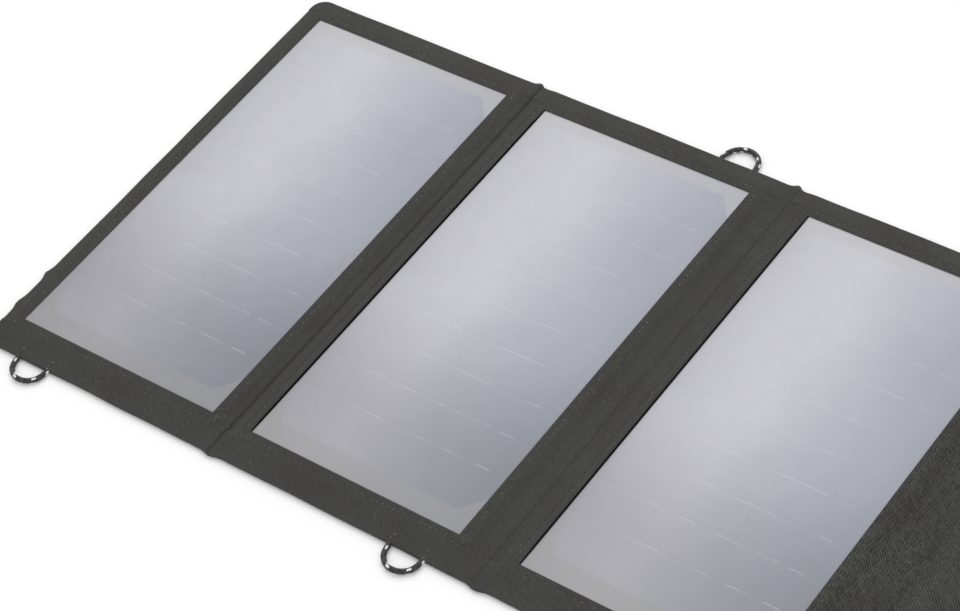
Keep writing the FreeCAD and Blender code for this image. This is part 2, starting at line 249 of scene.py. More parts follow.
def makeFabric(name, settings):
    material, tree, shader = newMaterial(name)
    uv = newNode(tree, "ShaderNodeUVMap", uv_map="cut")
    weave = placeGroup(tree, twillGroup, {"Pitch": settings["pitch"], "Float": settings["float"]})
    dust = placeGroup(tree, dustGroup, {"Amount": settings["lint"]})
    wearAndHighlight = newNode(tree, "ShaderNodeAttribute", attribute_name="wearAndHighlight")
    place = newNode(tree, "ShaderNodeSeparateXYZ")
    joinSockets(
        tree,
        (uv.outputs["UV"], weave.inputs["Vector"]),
        (uv.outputs["UV"], dust.inputs["Vector"]),
        (uv.outputs["UV"], place.inputs[0]),
    )
    nap = softStep(tree, place.outputs[0], *settings["napRange"], *settings["nap"])
    thread = mathNode(tree, "SUBTRACT", weave.outputs["Thread"], 0.5)
    level = mathNode(tree, "ADD", mathNode(tree, "MULTIPLY", nap, 0.16), 0.395)
    thread = mathNode(tree, "ADD", mathNode(tree, "MULTIPLY", thread, nap), level)
    colour = mixColour(tree, thread, settings["valley"], settings["ridge"])
    tone = softStep(tree, weave.outputs["Blotch"], 0.3, 0.7)
    colour = mixColour(tree, mathNode(tree, "MULTIPLY", tone, 0.45), colour, settings["warm"])
    # rubbed wear and painted highlight: the upper halves of the rolled hems, less their undersides and the
    # window lips, go towards a paler bluish grey
    colour = mixColour(tree, mathNode(tree, "MULTIPLY", wearAndHighlight.outputs["Fac"], 0.5), colour, settings["wornAndHighlit"])
    colour = mixColour(tree, dust.outputs["Mask"], colour, settings["lintColour"])
    rough = mathNode(tree, "ADD", mathNode(tree, "MULTIPLY", tone, 0.12), settings["roughness"])
    joinSockets(tree, (colour, shader.inputs["Base Color"]), (rough, shader.inputs["Roughness"]))
    height = mathNode(tree, "MULTIPLY", weave.outputs["Height"], nap)
    addBump(tree, shader, height, settings["bump"], 0.0004)
    shader.inputs["Sheen Weight"].default_value = 0.05
    shader.inputs["Sheen Roughness"].default_value = 0.5
    shader.inputs["Specular IOR Level"].default_value = 0.25
    return material


coverLook = {
    "pitch": 0.00112,
    "float": 0.0021,
    "napRange": (0.125, 0.146),
    "nap": (0.28, 1.65),
    "valley": (0.016, 0.0162, 0.0135),
    "ridge": (0.083, 0.083, 0.074),
    "warm": (0.043, 0.040, 0.040),
    # paler bluish grey for rubbed wear and for the painted highlight on the hems' tops
    "wornAndHighlit": (0.062, 0.062, 0.067),
    "lintColour": (0.25, 0.25, 0.22),
    "lint": 0.4,
    "roughness": 0.8,
    "bump": 0.8,
}
backLook = dict(coverLook, nap=(0.5, 0.5), pitch=0.0009, float=0.0014, ridge=(0.07, 0.07, 0.064))
coverFabric = makeFabric("coverFabric", coverLook)
backFabric = makeFabric("backFabric", backLook)
pouchFabric = makeFabric("pouchFabric", dict(coverLook, nap=(1.4, 1.4), warm=(0.038, 0.037, 0.036)))
bindingTape = makeFabric("bindingTape", dict(coverLook, nap=(1.0, 1.0), pitch=0.0009, float=0.0012,
                                            ridge=(0.05, 0.05, 0.048), valley=(0.018, 0.018, 0.017)))


def makeStitching():
    material, tree, shader = newMaterial("sewingThread")
    hole = newNode(tree, "ShaderNodeAttribute", attribute_name="hole")
    place = newNode(tree, "ShaderNodeTexCoord")
    tone = newNode(tree, "ShaderNodeTexNoise", {"Scale": 260.0, "Detail": 1.0})
    twist = newNode(tree, "ShaderNodeTexWave", {"Scale": 900.0, "Distortion": 1.0},
                    bands_direction="DIAGONAL")
    joinSockets(
        tree,
        (place.outputs["Object"], tone.inputs["Vector"]),
        (place.outputs["Object"], twist.inputs["Vector"]),
    )
    threadMix = softStep(tree, tone.outputs["Fac"], 0.4, 0.65)
    colour = mixColour(tree, threadMix, (0.035, 0.035, 0.031), (0.1, 0.1, 0.088))
    # painted shade: the needle holes between stitches are near-black blobs
    colour = mixColour(tree, hole.outputs["Fac"], colour, (0.004, 0.004, 0.004))
    joinSockets(tree, (colour, shader.inputs["Base Color"]))
    shader.inputs["Roughness"].default_value = 0.6
    addBump(tree, shader, twist.outputs["Fac"], 0.4, 0.0001)
    return material


sewingThread = makeStitching()


# the film over the cells, in its own coordinates: u across the window, v from front to back

filmLook = {
    "firstGap": 0.0884,
    "stripPitch": 0.0212,
    "cellsFront": -0.1068,
    "cellsBack": 0.1148,
    "width": 0.125,
    "corner": (0.0105, 0.0125),
    # painted reflection: the cells' colour carries a soft glare, brightest about a third of the way across
    # each window and darker towards its right
    "across": [(0.0, (0.42, 0.415, 0.46)), (0.08, (0.456, 0.451, 0.497)), (0.32, (0.522, 0.517, 0.568)),
               (0.5, (0.447, 0.445, 0.497)), (0.68, (0.376, 0.382, 0.44)), (0.92, (0.302, 0.313, 0.367)),
               (1.0, (0.285, 0.30, 0.347))],
    "margin": (0.425, 0.42, 0.425),
    # painted shade towards the film's front end, a smoothstep over v
    "shade": (-0.09, 0.012, 0.685, 1.0),
    "line": (0.62, 0.60, 0.58),
    "gapShade": (0.004, 0.004, 0.005),
}


def makeFilm():
    material, tree, shader = newMaterial("solarFilm")
    uv = newNode(tree, "ShaderNodeUVMap", uv_map="cut")
    place = newNode(tree, "ShaderNodeSeparateXYZ")
    joinSockets(tree, (uv.outputs["UV"], place.inputs[0]))
    u, v = place.outputs[0], place.outputs[1]

    # painted reflection: the glare across u, the same on every window, with a cloudy wander
    ramp = newNode(tree, "ShaderNodeValToRGB")
    ramp.color_ramp.interpolation = "B_SPLINE"
    while len(ramp.color_ramp.elements) < len(filmLook["across"]):
        ramp.color_ramp.elements.new(0.5)
    for element, (position, shade) in zip(ramp.color_ramp.elements, filmLook["across"]):
        element.position = position
        element.color = (*shade, 1.0)
    cloud = newNode(tree, "ShaderNodeTexNoise", {"Scale": 22.0, "Detail": 3.0, "Roughness": 0.5})
    joinSockets(tree, (uv.outputs["UV"], cloud.inputs["Vector"]))
    sway = mathNode(tree, "MULTIPLY", mathNode(tree, "SUBTRACT", cloud.outputs["Fac"], 0.5), 0.22)
    share = mathNode(tree, "ADD", mathNode(tree, "DIVIDE", u, filmLook["width"]), sway)
    joinSockets(tree, (share, ramp.inputs["Fac"]))
    front = softStep(tree, v, *filmLook["shade"])         # painted shade: the painted glare falls off, darker towards the film's front end
    cells = mixColour(tree, 1.0, ramp.outputs["Color"], newShade(tree, front), "MULTIPLY")

    # the cells' field, with its soft corners
    inward = mathNode(tree, "ABSOLUTE", mathNode(tree, "SUBTRACT", u, filmLook["width"] / 2))
    middle = (filmLook["cellsFront"] + filmLook["cellsBack"]) / 2
    half = (filmLook["cellsBack"] - filmLook["cellsFront"]) / 2
    lengthways = mathNode(tree, "ABSOLUTE", mathNode(tree, "SUBTRACT", v, middle))
    ends = softStep(tree, lengthways, half - 0.0012, half + 0.0012, 1.0, 0.0)
    wide, deep = filmLook["corner"]
    fromSide = mathNode(tree, "SUBTRACT", inward, filmLook["width"] / 2 - wide)
    nearSide = mathNode(tree, "DIVIDE", fromSide, wide)
    nearEnd = mathNode(tree, "DIVIDE", mathNode(tree, "SUBTRACT", lengthways, half - deep), deep)
    nearSide = mathNode(tree, "MAXIMUM", nearSide, 0.0)
    nearEnd = mathNode(tree, "MAXIMUM", nearEnd, 0.0)
    chamfer = softStep(tree, mathNode(tree, "ADD", nearSide, nearEnd), 0.92, 1.08, 1.0, 0.0)
    field = mathNode(tree, "MULTIPLY", ends, chamfer)
    # the margin takes half of the painted glare and all of the painted front shade
    marginTone = mixColour(tree, 0.5, ramp.outputs["Color"], filmLook["margin"])
    marginTone = mixColour(tree, 1.0, marginTone, newShade(tree, front), "MULTIPLY")
    colour = mixColour(tree, field, marginTone, cells)

    # fine pale lines between the strips, broken and with a dash at the right
    fromFirst = mathNode(tree, "SUBTRACT", v, filmLook["firstGap"])
    rowPlace = mathNode(tree, "DIVIDE", fromFirst, filmLook["stripPitch"])
    nearest = mathNode(tree, "ROUND", rowPlace)
    offset = mathNode(tree, "MULTIPLY", mathNode(tree, "SUBTRACT", rowPlace, nearest), filmLook["stripPitch"])
    waver = mathNode(tree, "MULTIPLY", mathNode(tree, "SUBTRACT", cloud.outputs["Fac"], 0.5), 0.0016)
    offset = mathNode(tree, "ABSOLUTE", mathNode(tree, "ADD", offset, waver))
    line = softStep(tree, offset, 0.0001, 0.0006, 1.0, 0.0)
    dashes = newNode(tree, "ShaderNodeTexNoise", {"Scale": 1.0, "Detail": 2.0})
    stretch = newNode(tree, "ShaderNodeCombineXYZ")
    joinSockets(
        tree,
        (mathNode(tree, "MULTIPLY", u, 75.0), stretch.inputs[0]),
        (mathNode(tree, "MULTIPLY", nearest, 7.3), stretch.inputs[1]),
        (stretch.outputs[0], dashes.inputs["Vector"]),
    )
    broken = softStep(tree, dashes.outputs["Fac"], 0.4, 0.62, 0.12, 1.0)
    notch = softStep(tree, mathNode(tree, "ABSOLUTE", mathNode(tree, "SUBTRACT", u, 0.103)), 0.002, 0.004)
    stop = softStep(tree, u, 0.113, 0.117, 1.0, 0.0)
    start = softStep(tree, u, 0.010, 0.030)
    ninth = softStep(tree, nearest, -8.6, -8.4)
    first = softStep(tree, nearest, 0.4, 0.6, 1.0, 0.0)
    for part in (broken, notch, stop, start, ninth, first, field):
        line = mathNode(tree, "MULTIPLY", line, part)
    colour = mixColour(tree, mathNode(tree, "MULTIPLY", line, 0.27), colour, filmLook["line"])

    # faint mottling of the embossed skin
    grain = newNode(tree, "ShaderNodeTexNoise", {"Scale": 420.0, "Detail": 2.0})
    smear = newNode(tree, "ShaderNodeTexNoise", {"Scale": 60.0, "Detail": 4.0, "Roughness": 0.7})
    joinSockets(
        tree,
        (uv.outputs["UV"], grain.inputs["Vector"]),
        (uv.outputs["UV"], smear.inputs["Vector"]),
    )
    # painted shadow: near black where the fabric's raised left edge shades the film
    slotShadow = newNode(tree, "ShaderNodeAttribute", attribute_name="slotShadow")
    colour = mixColour(tree, slotShadow.outputs["Fac"], colour, filmLook["gapShade"])
    mottle = softStep(tree, smear.outputs["Fac"], 0.25, 0.75, 0.965, 1.035)
    colour = mixColour(tree, 1.0, colour, newShade(tree, mottle), "MULTIPLY")
    rough = softStep(tree, smear.outputs["Fac"], 0.2, 0.8, 0.38, 0.5)
    joinSockets(tree, (colour, shader.inputs["Base Color"]), (rough, shader.inputs["Roughness"]))
    addBump(tree, shader, grain.outputs["Fac"], 0.18, 0.0002)
    shader.inputs["Coat Weight"].default_value = 0.2
    shader.inputs["Coat Roughness"].default_value = 0.22
    shader.inputs["Specular IOR Level"].default_value = 0.4
    return material


def newShade(tree, value):
    # a grey from one number
    grey = newNode(tree, "ShaderNodeCombineColor")
    for socket in grey.inputs:
        tree.links.new(value, socket)
    return grey.outputs[0]


solarFilm = makeFilm()


# plain finishes of the carried-over pieces: colour, second colour, roughness, metal, grain size, grain depth

def makeFinish(name, settings):
    material, tree, shader = newMaterial(name)
    place = newNode(tree, "ShaderNodeTexCoord")
    broad = newNode(tree, "ShaderNodeTexNoise", {"Scale": settings["scale"], "Detail": 4.0, "Roughness": 0.6})
    fine = newNode(tree, "ShaderNodeTexNoise", {"Scale": settings["grain"], "Detail": 3.0})
    dust = placeGroup(tree, dustGroup, {"Scale": 900.0, "Amount": settings.get("dust", 0.2)})
    for node in (broad, fine, dust):
        joinSockets(tree, (place.outputs["Object"], node.inputs["Vector"]))
    tone = softStep(tree, broad.outputs["Fac"], 0.3, 0.7)
    colour = mixColour(tree, tone, settings["colour"], settings["second"])
    colour = mixColour(tree, dust.outputs["Mask"], colour, (0.35, 0.34, 0.32))
    low, high = settings["roughness"]
    rough = softStep(tree, fine.outputs["Fac"], 0.3, 0.7, low, high)
    joinSockets(tree, (colour, shader.inputs["Base Color"]), (rough, shader.inputs["Roughness"]))
    shader.inputs["Metallic"].default_value = settings.get("metal", 0.0)
    addBump(tree, shader, fine.outputs["Fac"], settings["depth"], 0.0002)
    if settings.get("clear"):
        shader.inputs["Transmission Weight"].default_value = settings["clear"]
        shader.inputs["IOR"].default_value = 1.49
    return material


finishes = {
    "silicon_cell": {"colour": (0.012, 0.016, 0.05), "second": (0.02, 0.026, 0.075),
                     "roughness": (0.2, 0.3), "scale": 30.0, "grain": 900.0, "depth": 0.1},
    "tinned_ribbon": {"colour": (0.62, 0.62, 0.6), "second": (0.5, 0.5, 0.49),
                      "roughness": (0.25, 0.45), "metal": 1.0, "scale": 90.0, "grain": 1500.0, "depth": 0.15},
    "backing_board": {"colour": (0.05, 0.09, 0.05), "second": (0.065, 0.11, 0.06),
                      "roughness": (0.45, 0.6), "scale": 60.0, "grain": 1200.0, "depth": 0.3},
    "circuit_board": {"colour": (0.006, 0.075, 0.03), "second": (0.01, 0.1, 0.045),
                      "roughness": (0.3, 0.42), "scale": 300.0, "grain": 2200.0, "depth": 0.3},
    "foam_padding": {"colour": (0.08, 0.08, 0.082), "second": (0.12, 0.12, 0.122),
                     "roughness": (0.85, 0.95), "scale": 220.0, "grain": 1600.0, "depth": 0.9},
    "chip_plastic": {"colour": (0.014, 0.014, 0.015), "second": (0.022, 0.022, 0.023),
                     "roughness": (0.45, 0.6), "scale": 260.0, "grain": 3500.0, "depth": 0.35},
    "lead_insulation": {"colour": (0.018, 0.018, 0.018), "second": (0.03, 0.03, 0.029),
                        "roughness": (0.35, 0.5), "scale": 120.0, "grain": 1500.0, "depth": 0.15},
    "stiffener_board": {"colour": (0.05, 0.05, 0.05), "second": (0.075, 0.075, 0.073),
                        "roughness": (0.55, 0.7), "scale": 70.0, "grain": 1300.0, "depth": 0.4},
    "controller_case": {"colour": (0.014, 0.014, 0.015), "second": (0.02, 0.02, 0.021),
                        "roughness": (0.42, 0.58),
                        "scale": 45.0, "grain": 2600.0, "depth": 0.5, "dust": 0.35},
    "plated_steel": {"colour": (0.6, 0.6, 0.61), "second": (0.5, 0.5, 0.52),
                     "roughness": (0.18, 0.34), "metal": 1.0, "scale": 140.0, "grain": 2400.0, "depth": 0.12},
    "socket_plastic": {"colour": (0.7, 0.7, 0.68), "second": (0.62, 0.62, 0.6),
                       "roughness": (0.35, 0.5), "scale": 160.0, "grain": 2400.0, "depth": 0.2},
    "ferrite": {"colour": (0.045, 0.043, 0.042), "second": (0.07, 0.067, 0.065),
                "roughness": (0.6, 0.78), "scale": 400.0, "grain": 2600.0, "depth": 0.6},
    "capacitor_can": {"colour": (0.05, 0.055, 0.2), "second": (0.07, 0.075, 0.26),
                      "roughness": (0.25, 0.4), "metal": 0.4, "scale": 120.0, "grain": 2000.0, "depth": 0.1},
    "clear_plastic": {"colour": (0.85, 0.88, 0.9), "second": (0.75, 0.8, 0.82),
                      "roughness": (0.08, 0.16), "clear": 0.7,
                      "scale": 200.0, "grain": 2400.0, "depth": 0.08},
    "grommet_rubber": {"colour": (0.012, 0.012, 0.012), "second": (0.02, 0.02, 0.02),
                       "roughness": (0.65, 0.8), "scale": 180.0, "grain": 2200.0, "depth": 0.4},
    "hook_and_loop": {"colour": (0.02, 0.02, 0.02), "second": (0.045, 0.045, 0.043),
                      "roughness": (0.8, 0.95), "scale": 500.0, "grain": 3000.0, "depth": 0.8},
}
looks = {name: makeFinish(name, settings) for name, settings in finishes.items()}


def dressCadPieces():
    # each carried-over piece takes the finish that its name points to
    spare = {"cover_fabric": coverFabric, "solar_film": solarFilm, "loop_cord": looks["grommet_rubber"]}
    for name, piece in frame["nodes"].items():
        slot = guessSlot(name)
        material = looks.get(slot) or spare.get(slot) or looks["controller_case"]
        if not piece.material_slots:
            piece.data.materials.append(material)
        for holder in piece.material_slots:
            holder.material = material


def guessSlot(name):
    words = {"cells": "silicon_cell", "ribbons": "tinned_ribbon", "backing": "backing_board",
             "padding": "foam_padding", "terminal_board": "circuit_board", "circuit_board": "circuit_board",
             "diode": "chip_plastic", "chips": "chip_plastic", "leads": "lead_insulation",
             "stiffener": "stiffener_board", "strip": "hook_and_loop", "usb_shells": "plated_steel",
             "screws": "plated_steel", "usb_tongues": "socket_plastic", "inductor": "ferrite",
             "capacitors": "capacitor_can", "lamp": "clear_plastic", "light_pipe": "clear_plastic",
             "grommet": "grommet_rubber", "controller_base": "controller_case", "lid": "controller_case"}
    for word, slot in words.items():
        if word in name:
            return slot
    return "cover_fabric"


dressCadPieces()
print("finishes made")


# sizes read from the frame

def span(node, axis):
    low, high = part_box(node)
    return low[axis], high[axis]


lap = 4 * mm                                    # how far a cover laps over a laminate's edge
boards = {k: (*span(f"panel_{k}_backing", 0), *span(f"panel_{k}_backing", 1)) for k in (1, 2, 3)}
windows = {k: (b[0] + lap, b[1] - lap, b[2] + lap, b[3] - lap) for k, b in boards.items()}
stiffener = (*span("base_stiffener", 0), *span("base_stiffener", 1))
outlineX = (span("panel_1_back_cover", 0)[0], span("base_back_cover", 0)[1])
outlineY = span("base_back_cover", 1)
folds = {joint["name"]: Vector(joint["pos_m"]) for joint in frame["joints"]}
panelTop = span("panel_1_front_cover", 2)[1]
filmTop = span("panel_1_film", 2)[1]
filmBottom = span("panel_1_film", 2)[0]
hemTop = span("base_front_cover", 2)[1]

cover = {
    "layer": 0.25 * mm,           # one thickness of the fabric
    "hemRound": 1.5 * mm,         # half the rolled hem
    "corner": 8.0 * mm,
    "valley": 2.3 * mm,           # the fabric's height over a fold
    "lipTurn": 3.0 * mm,          # how far a window's edge is turned under, as made here
    "allowance": 6.5 * mm,        # the cut's whole allowance there
    "lipInset": 0.3 * mm,
    "sole": 0.14 * mm,
    "lift": 0.6 * mm,             # how far a window's left edge stands off the film
    "seam": 3.5 * mm,             # window's edge to its stitches
}
webs = {                          # the flexible strips at the folds: left, right, and half the bending zone
    "fold_1": (8.0 * mm, 8.0 * mm, 6.0 * mm),
    "fold_2": (16.0 * mm, 10.0 * mm, 4.0 * mm),
    "fold_3": (12.5 * mm, 12.5 * mm, 12.5 * mm),
}


def ease(low, high, value):
    # smooth step from 0 at low to 1 at high, either of which may be the larger
    t = min(1.0, max(0.0, (value - low) / (high - low)))
    return t * t * (3 - 2 * t)


def bell(value, middle, width):
    return math.exp(-((value - middle) / width) ** 2)


def ripple(x, y, size, seed=0.0):
    return noise.noise(Vector((x / size, y / size, seed)))


def outsideOf(rect, x, y):
    dx = max(rect[0] - x, x - rect[1], 0.0)
    dy = max(rect[2] - y, y - rect[3], 0.0)
    return math.hypot(dx, dy)


def fabricTop(x, y):
    # the middle of the front fabric's thickness, anywhere on the object
    nearHem = ease(0.117, 0.132, abs(y))
    atLeft = ease(outlineX[0] + 0.007, outlineX[0] + 0.002, x)
    nearSide = max(atLeft, ease(stiffener[0] - 0.004, stiffener[0], x))
    hem = max(nearHem, nearSide)
    low = cover["valley"] + (hemTop - 0.25 * mm - cover["valley"]) * hem
    rise = 0.0
    for rect in boards.values():
        fall = 0.012 if rect[2] > y or y > rect[3] else 0.0075
        rise = max(rise, 1 - ease(0.0008, fall, outsideOf(rect, x, y)))
    z = low + (panelTop - cover["layer"] / 2 - low) * rise
    # creases at the folds: the left side stands a little higher, then drops
    for name, depth in (("fold_1", 0.8), ("fold_2", 0.4), ("fold_3", 0.25)):
        x0 = folds[name].x + 0.35 * mm * ripple(0.0, y, 0.03, 3.0)
        z += depth * mm * (0.7 * bell(x, x0 - 1.3 * mm, 1.5 * mm) - 0.9 * bell(x, x0 + 0.5 * mm, 0.55 * mm))
    # soft wrinkles where no board holds the fabric flat
    free = (1 - rise) * (1 - 0.6 * hem)
    z += free * mm * (0.34 * ripple(x, y * 0.6, 0.02, 5.0) + 0.14 * ripple(x, y * 0.5, 0.007, 9.0))
    z += hem * mm * 0.22 * ripple(x, y, 0.024, 7.0)
    # the seams pull the fabric down round each window; the folded edges stand up a little on the left
    for k, rect in windows.items():
        away = outsideOf(rect, x, y)
        if k > 1 and rect[0] - 0.006 < x < rect[0]:
            between = ease(rect[2] - 0.004, rect[2] + 0.012, y) * ease(rect[3] + 0.004, rect[3] - 0.012, y)
            z += cover["lift"] * between * bell(x, rect[0], 2.0 * mm)
        if 0 < away < 0.007:
            pull = 0.16 + 0.1 * ripple(x, y, 0.004, 12.0)
            z -= pull * mm * bell(away, cover["seam"], 0.7 * mm)
            z += 0.10 * mm * bell(away, cover["seam"] - 1.7 * mm, 0.9 * mm) * (1 + ripple(x, y, 0.005, 2.0))
    return z


def backBottom(x, y):
    # the middle of the back fabric's thickness
    z = 0.2 * mm
    for name in webs:
        z += 0.2 * mm * bell(x, folds[name].x, 1.2 * mm)
    for rect in windows.values():
        away = outsideOf(rect, x, y)
        if 0 < away < 0.007:
            z += 0.14 * mm * bell(away, cover["seam"], 0.7 * mm)
    return z + 0.1 * mm * ripple(x, y, 0.03, 21.0)


def hemSwell(x, y):
    # how far the rolled hem stands out or in from its line
    out = 0.45 * ripple(x, y, 0.03, 31.0) - 0.1
    if y > 0:
        for name, rise, wide, dip in (("fold_1", 1.5, 0.0022, 0.7), ("fold_2", 2.0, 0.0024, 0.6)):
            at = folds[name].x
            out += rise * bell(x, at - 0.002, wide) - dip * bell(x, at + 0.004, 0.003)
    else:
        out += 1.3 * bell(x, folds["fold_1"].x + 0.001, 0.004)
        out += 1.4 * bell(x, folds["fold_2"].x + 0.003, 0.004)
    out += 0.8 * bell(x, folds["fold_3"].x, 0.003)
    if x < outlineX[0] + 0.009:
        out += 1.6 * bell(y, -0.110, 0.0035) + 1.9 * bell(y, -0.088, 0.003)
    return out * mm


def gridLines(low, high, marks, fine=0.7 * mm, coarse=2.6 * mm):
    # grid positions from low to high, close together near the marks, each of which is a line itself
    marks = sorted({low, high, *[m for m in marks if low < m < high]})
    lines = [low]
    for a, b in zip(marks, marks[1:]):
        steps = []
        s = 0.0
        while s < (b - a) / 2:
            steps.append(s)
            s += min(coarse, fine + 0.35 * s)
        left = [a + d for d in steps]
        right = [b - d for d in steps][::-1]
        if right[0] - left[-1] < fine * 0.5 and len(left) > 1:
            left.pop()
        lines.extend(left[1:] + right)
    return lines


def cornerPlan(x, y, rect, radius, corners):
    # moves a grid point near a rounded corner on to the corner's arcs; gives the place and the way out
    x0, x1, y0, y1 = rect
    across = along = 0.0
    if x < x0 + radius:
        across = (x - x0 - radius) / radius
    if x > x1 - radius:
        across = (x - x1 + radius) / radius
    if y < y0 + radius:
        along = (y - y0 - radius) / radius
    if y > y1 - radius:
        along = (y - y1 + radius) / radius
    corner = ("left" if across < 0 else "right") + ("Front" if along < 0 else "Back")
    if across and along and corner in corners:
        a = across * math.sqrt(1 - along * along / 2)
        b = along * math.sqrt(1 - across * across / 2)
        cx = x - across * radius
        cy = y - along * radius
        return cx + a * radius, cy + b * radius, Vector((a, b)).normalized()
    if abs(across) > 0.999 and f"{corner[:-5] if along < 0 else corner[:-4]}" in " ".join(corners):
        return x, y, Vector((math.copysign(1, across), 0))
    return x, y, Vector((0, math.copysign(1, y)))


def objectFrom(bm, name, material):
    mesh = bpy.data.meshes.new(name)
    bm.to_mesh(mesh)
    bm.free()
    mesh.materials.append(material)
    piece = bpy.data.objects.new(name, mesh)
    bpy.context.scene.collection.objects.link(piece)
    return piece


def settle(piece, sharp=45):
    # turns the modifiers' result into the piece's own plain mesh
    bpy.context.view_layer.update()
    evaluated = piece.evaluated_get(bpy.context.evaluated_depsgraph_get())
    mesh = bpy.data.meshes.new_from_object(evaluated)
    piece.modifiers.clear()
    piece.data = mesh
    mesh.name = piece.name
    mesh.shade_smooth()
    mesh.set_sharp_from_angle(angle=math.radians(sharp))
    return piece


def thicken(piece, amount, offset=0.0, sharp=45):
    wall = piece.modifiers.new("wall", "SOLIDIFY")
    wall.thickness = amount
    wall.offset = offset
    return settle(piece, sharp)


def clothGrid(name, xs, ys, height, material, hole=None, plan=None, rings=(), lip=()):
    # a sheet over a grid of lines, with an optional window and with its hemmed edges carried on in rings
    bm = bmesh.new()
    uvLayer = bm.loops.layers.uv.new("cut")
    wearHighlightLayer = bm.verts.layers.float.new("wearAndHighlight")
    flat = {}
    grid = {}
    for i, x in enumerate(xs):
        for j, y in enumerate(ys):
            if hole and hole[0] < x < hole[1] and hole[2] < y < hole[3]:
                continue
            px, py, way = cornerPlan(x, y, *(plan or ((-9, 9, -9, 9), 0.001, ())))
            vert = bm.verts.new((px, py, height(px, py)))
            flat[vert] = (px, py)
            grid[i, j] = (vert, way)
    for i in range(len(xs) - 1):
        for j in range(len(ys) - 1):
            middle = ((xs[i] + xs[i + 1]) / 2, (ys[j] + ys[j + 1]) / 2)
            if hole and hole[0] < middle[0] < hole[1] and hole[2] < middle[1] < hole[3]:
                continue
            corners = [(i, j), (i + 1, j), (i + 1, j + 1), (i, j + 1)]
            bm.faces.new([grid[c][0] for c in corners])

    def carryOn(path, closed, places, wearHighlightOf):
        # adds a ring of vertices for each place, which gives (out, z, run) for a base vertex and its way
        previous = [vert for vert, _ in path]
        for place in places:
            current = []
            for vert, way in path:
                out, z, run = place(vert.co, way)
                new = bm.verts.new((vert.co.x + way.x * out, vert.co.y + way.y * out, z))
                base = flat[vert]
                flat[new] = (base[0] + way.x * run, base[1] + way.y * run)
                new[wearHighlightLayer] = wearHighlightOf(z, vert.co.z)
                current.append(new)
            count = len(path) if closed else len(path) - 1
            for k in range(count):
                n = (k + 1) % len(path)
                bm.faces.new((previous[k], current[k], current[n], previous[n]))
            previous = current

    last = (len(xs) - 1, len(ys) - 1)
    if rings:
        front = [(i, 0) for i in range(len(xs))]
        back = [(i, last[1]) for i in range(last[0], -1, -1)]
        right = [(last[0], j) for j in range(len(ys))]
        left = [(0, j) for j in range(last[1], -1, -1)]
        if "leftFront" in plan[2]:
            paths = [back + left[1:] + front[1:]]
        elif "rightFront" in plan[2]:
            paths = [front + right[1:] + back[1:]]
        else:
            paths = [front, back]
        for path in paths:
            # the upper part of each rolled hem gets the full wear and painted highlight, its underside a
            # fifth
            carryOn([grid[c] for c in path], False, rings, lambda z, top: 1.0 if z > top * 0.35 else 0.2)
    if lip and hole:
        i0, i1 = xs.index(hole[0]), xs.index(hole[1])
        j0, j1 = ys.index(hole[2]), ys.index(hole[3])
        loop = [(i, j0) for i in range(i0, i1)] + [(i1, j) for j in range(j0, j1)]
        loop += [(i, j1) for i in range(i1, i0, -1)] + [(i0, j) for j in range(j1, j0, -1)]
        path = []
        for i, j in loop[::-1]:
            out = Vector(((i == i1) - (i == i0), (j == j1) - (j == j0)))
            path.append((grid[i, j][0], -out))
        # the window lips get 0.6 of the paler wear-and-highlight tone
        carryOn(path, True, lip, lambda z, top: 0.6)
    for face in bm.faces:
        for corner in face.loops:
            corner[uvLayer].uv = flat[corner.vert]
    return objectFrom(bm, name, material)


def hemPlace(angle):
    def place(base, way):
        half = (base.z - cover["sole"]) / 2
        centre = cover["sole"] + half
        reach = cover["hemRound"] + hemSwell(base.x + way.x * cover["hemRound"], base.y)
        run = cover["hemRound"] * (math.pi / 2 - angle)
        return reach * math.cos(angle), centre + half * math.sin(angle), run
    return place


def underPlace(out, z):
    return lambda base, way: (out, z, 5 * mm - out)


def lipPlace(out, drop, run):
    return lambda base, way: (out, base.z - drop, run)


hemAngles = [math.radians(a) for a in (72, 54, 36, 18, 0, -18, -36, -54, -72, -90)]
hemRings = [hemPlace(a) for a in hemAngles]
hemRings += [underPlace(-0.5 * mm, 0.26 * mm), underPlace(-0.8 * mm, 0.5 * mm),
             underPlace(-0.85 * mm, 1.1 * mm)]
lipRings = [lipPlace(0.12 * mm, 0.03 * mm, 0.12 * mm), lipPlace(0.18 * mm, 0.14 * mm, 0.25 * mm),
            lipPlace(0.12 * mm, 0.26 * mm, 0.38 * mm), lipPlace(0.0, 0.3 * mm, 0.5 * mm),
            lipPlace(-1.5 * mm, 0.3 * mm, 2.0 * mm), lipPlace(-cover["lipTurn"], 0.3 * mm, 3.5 * mm)]
backRings = [underPlace(0.35 * mm, 0.34 * mm), underPlace(0.55 * mm, 0.6 * mm),
             underPlace(0.6 * mm, 1.1 * mm)]

frontInset = cover["hemRound"]
backInset = cover["hemRound"] + 1.7 * mm
seamMarks = []
for rect in windows.values():
    seamMarks += [rect[2] - cover["seam"], rect[3] + cover["seam"]]
lipInset = cover["lipInset"]
windowLine = {k: (r[0] - lipInset, r[1] + lipInset, r[2] - lipInset, r[3] + lipInset)
              for k, r in windows.items()}
yMarks = [windowLine[1][2], windowLine[1][3], boards[1][2], boards[1][3], seamMarks[0], seamMarks[1]]
frontY = gridLines(outlineY[0] + frontInset, outlineY[1] - frontInset, yMarks)
backY = gridLines(outlineY[0] + backInset, outlineY[1] - backInset, seamMarks[:2], 1.0 * mm, 4.0 * mm)

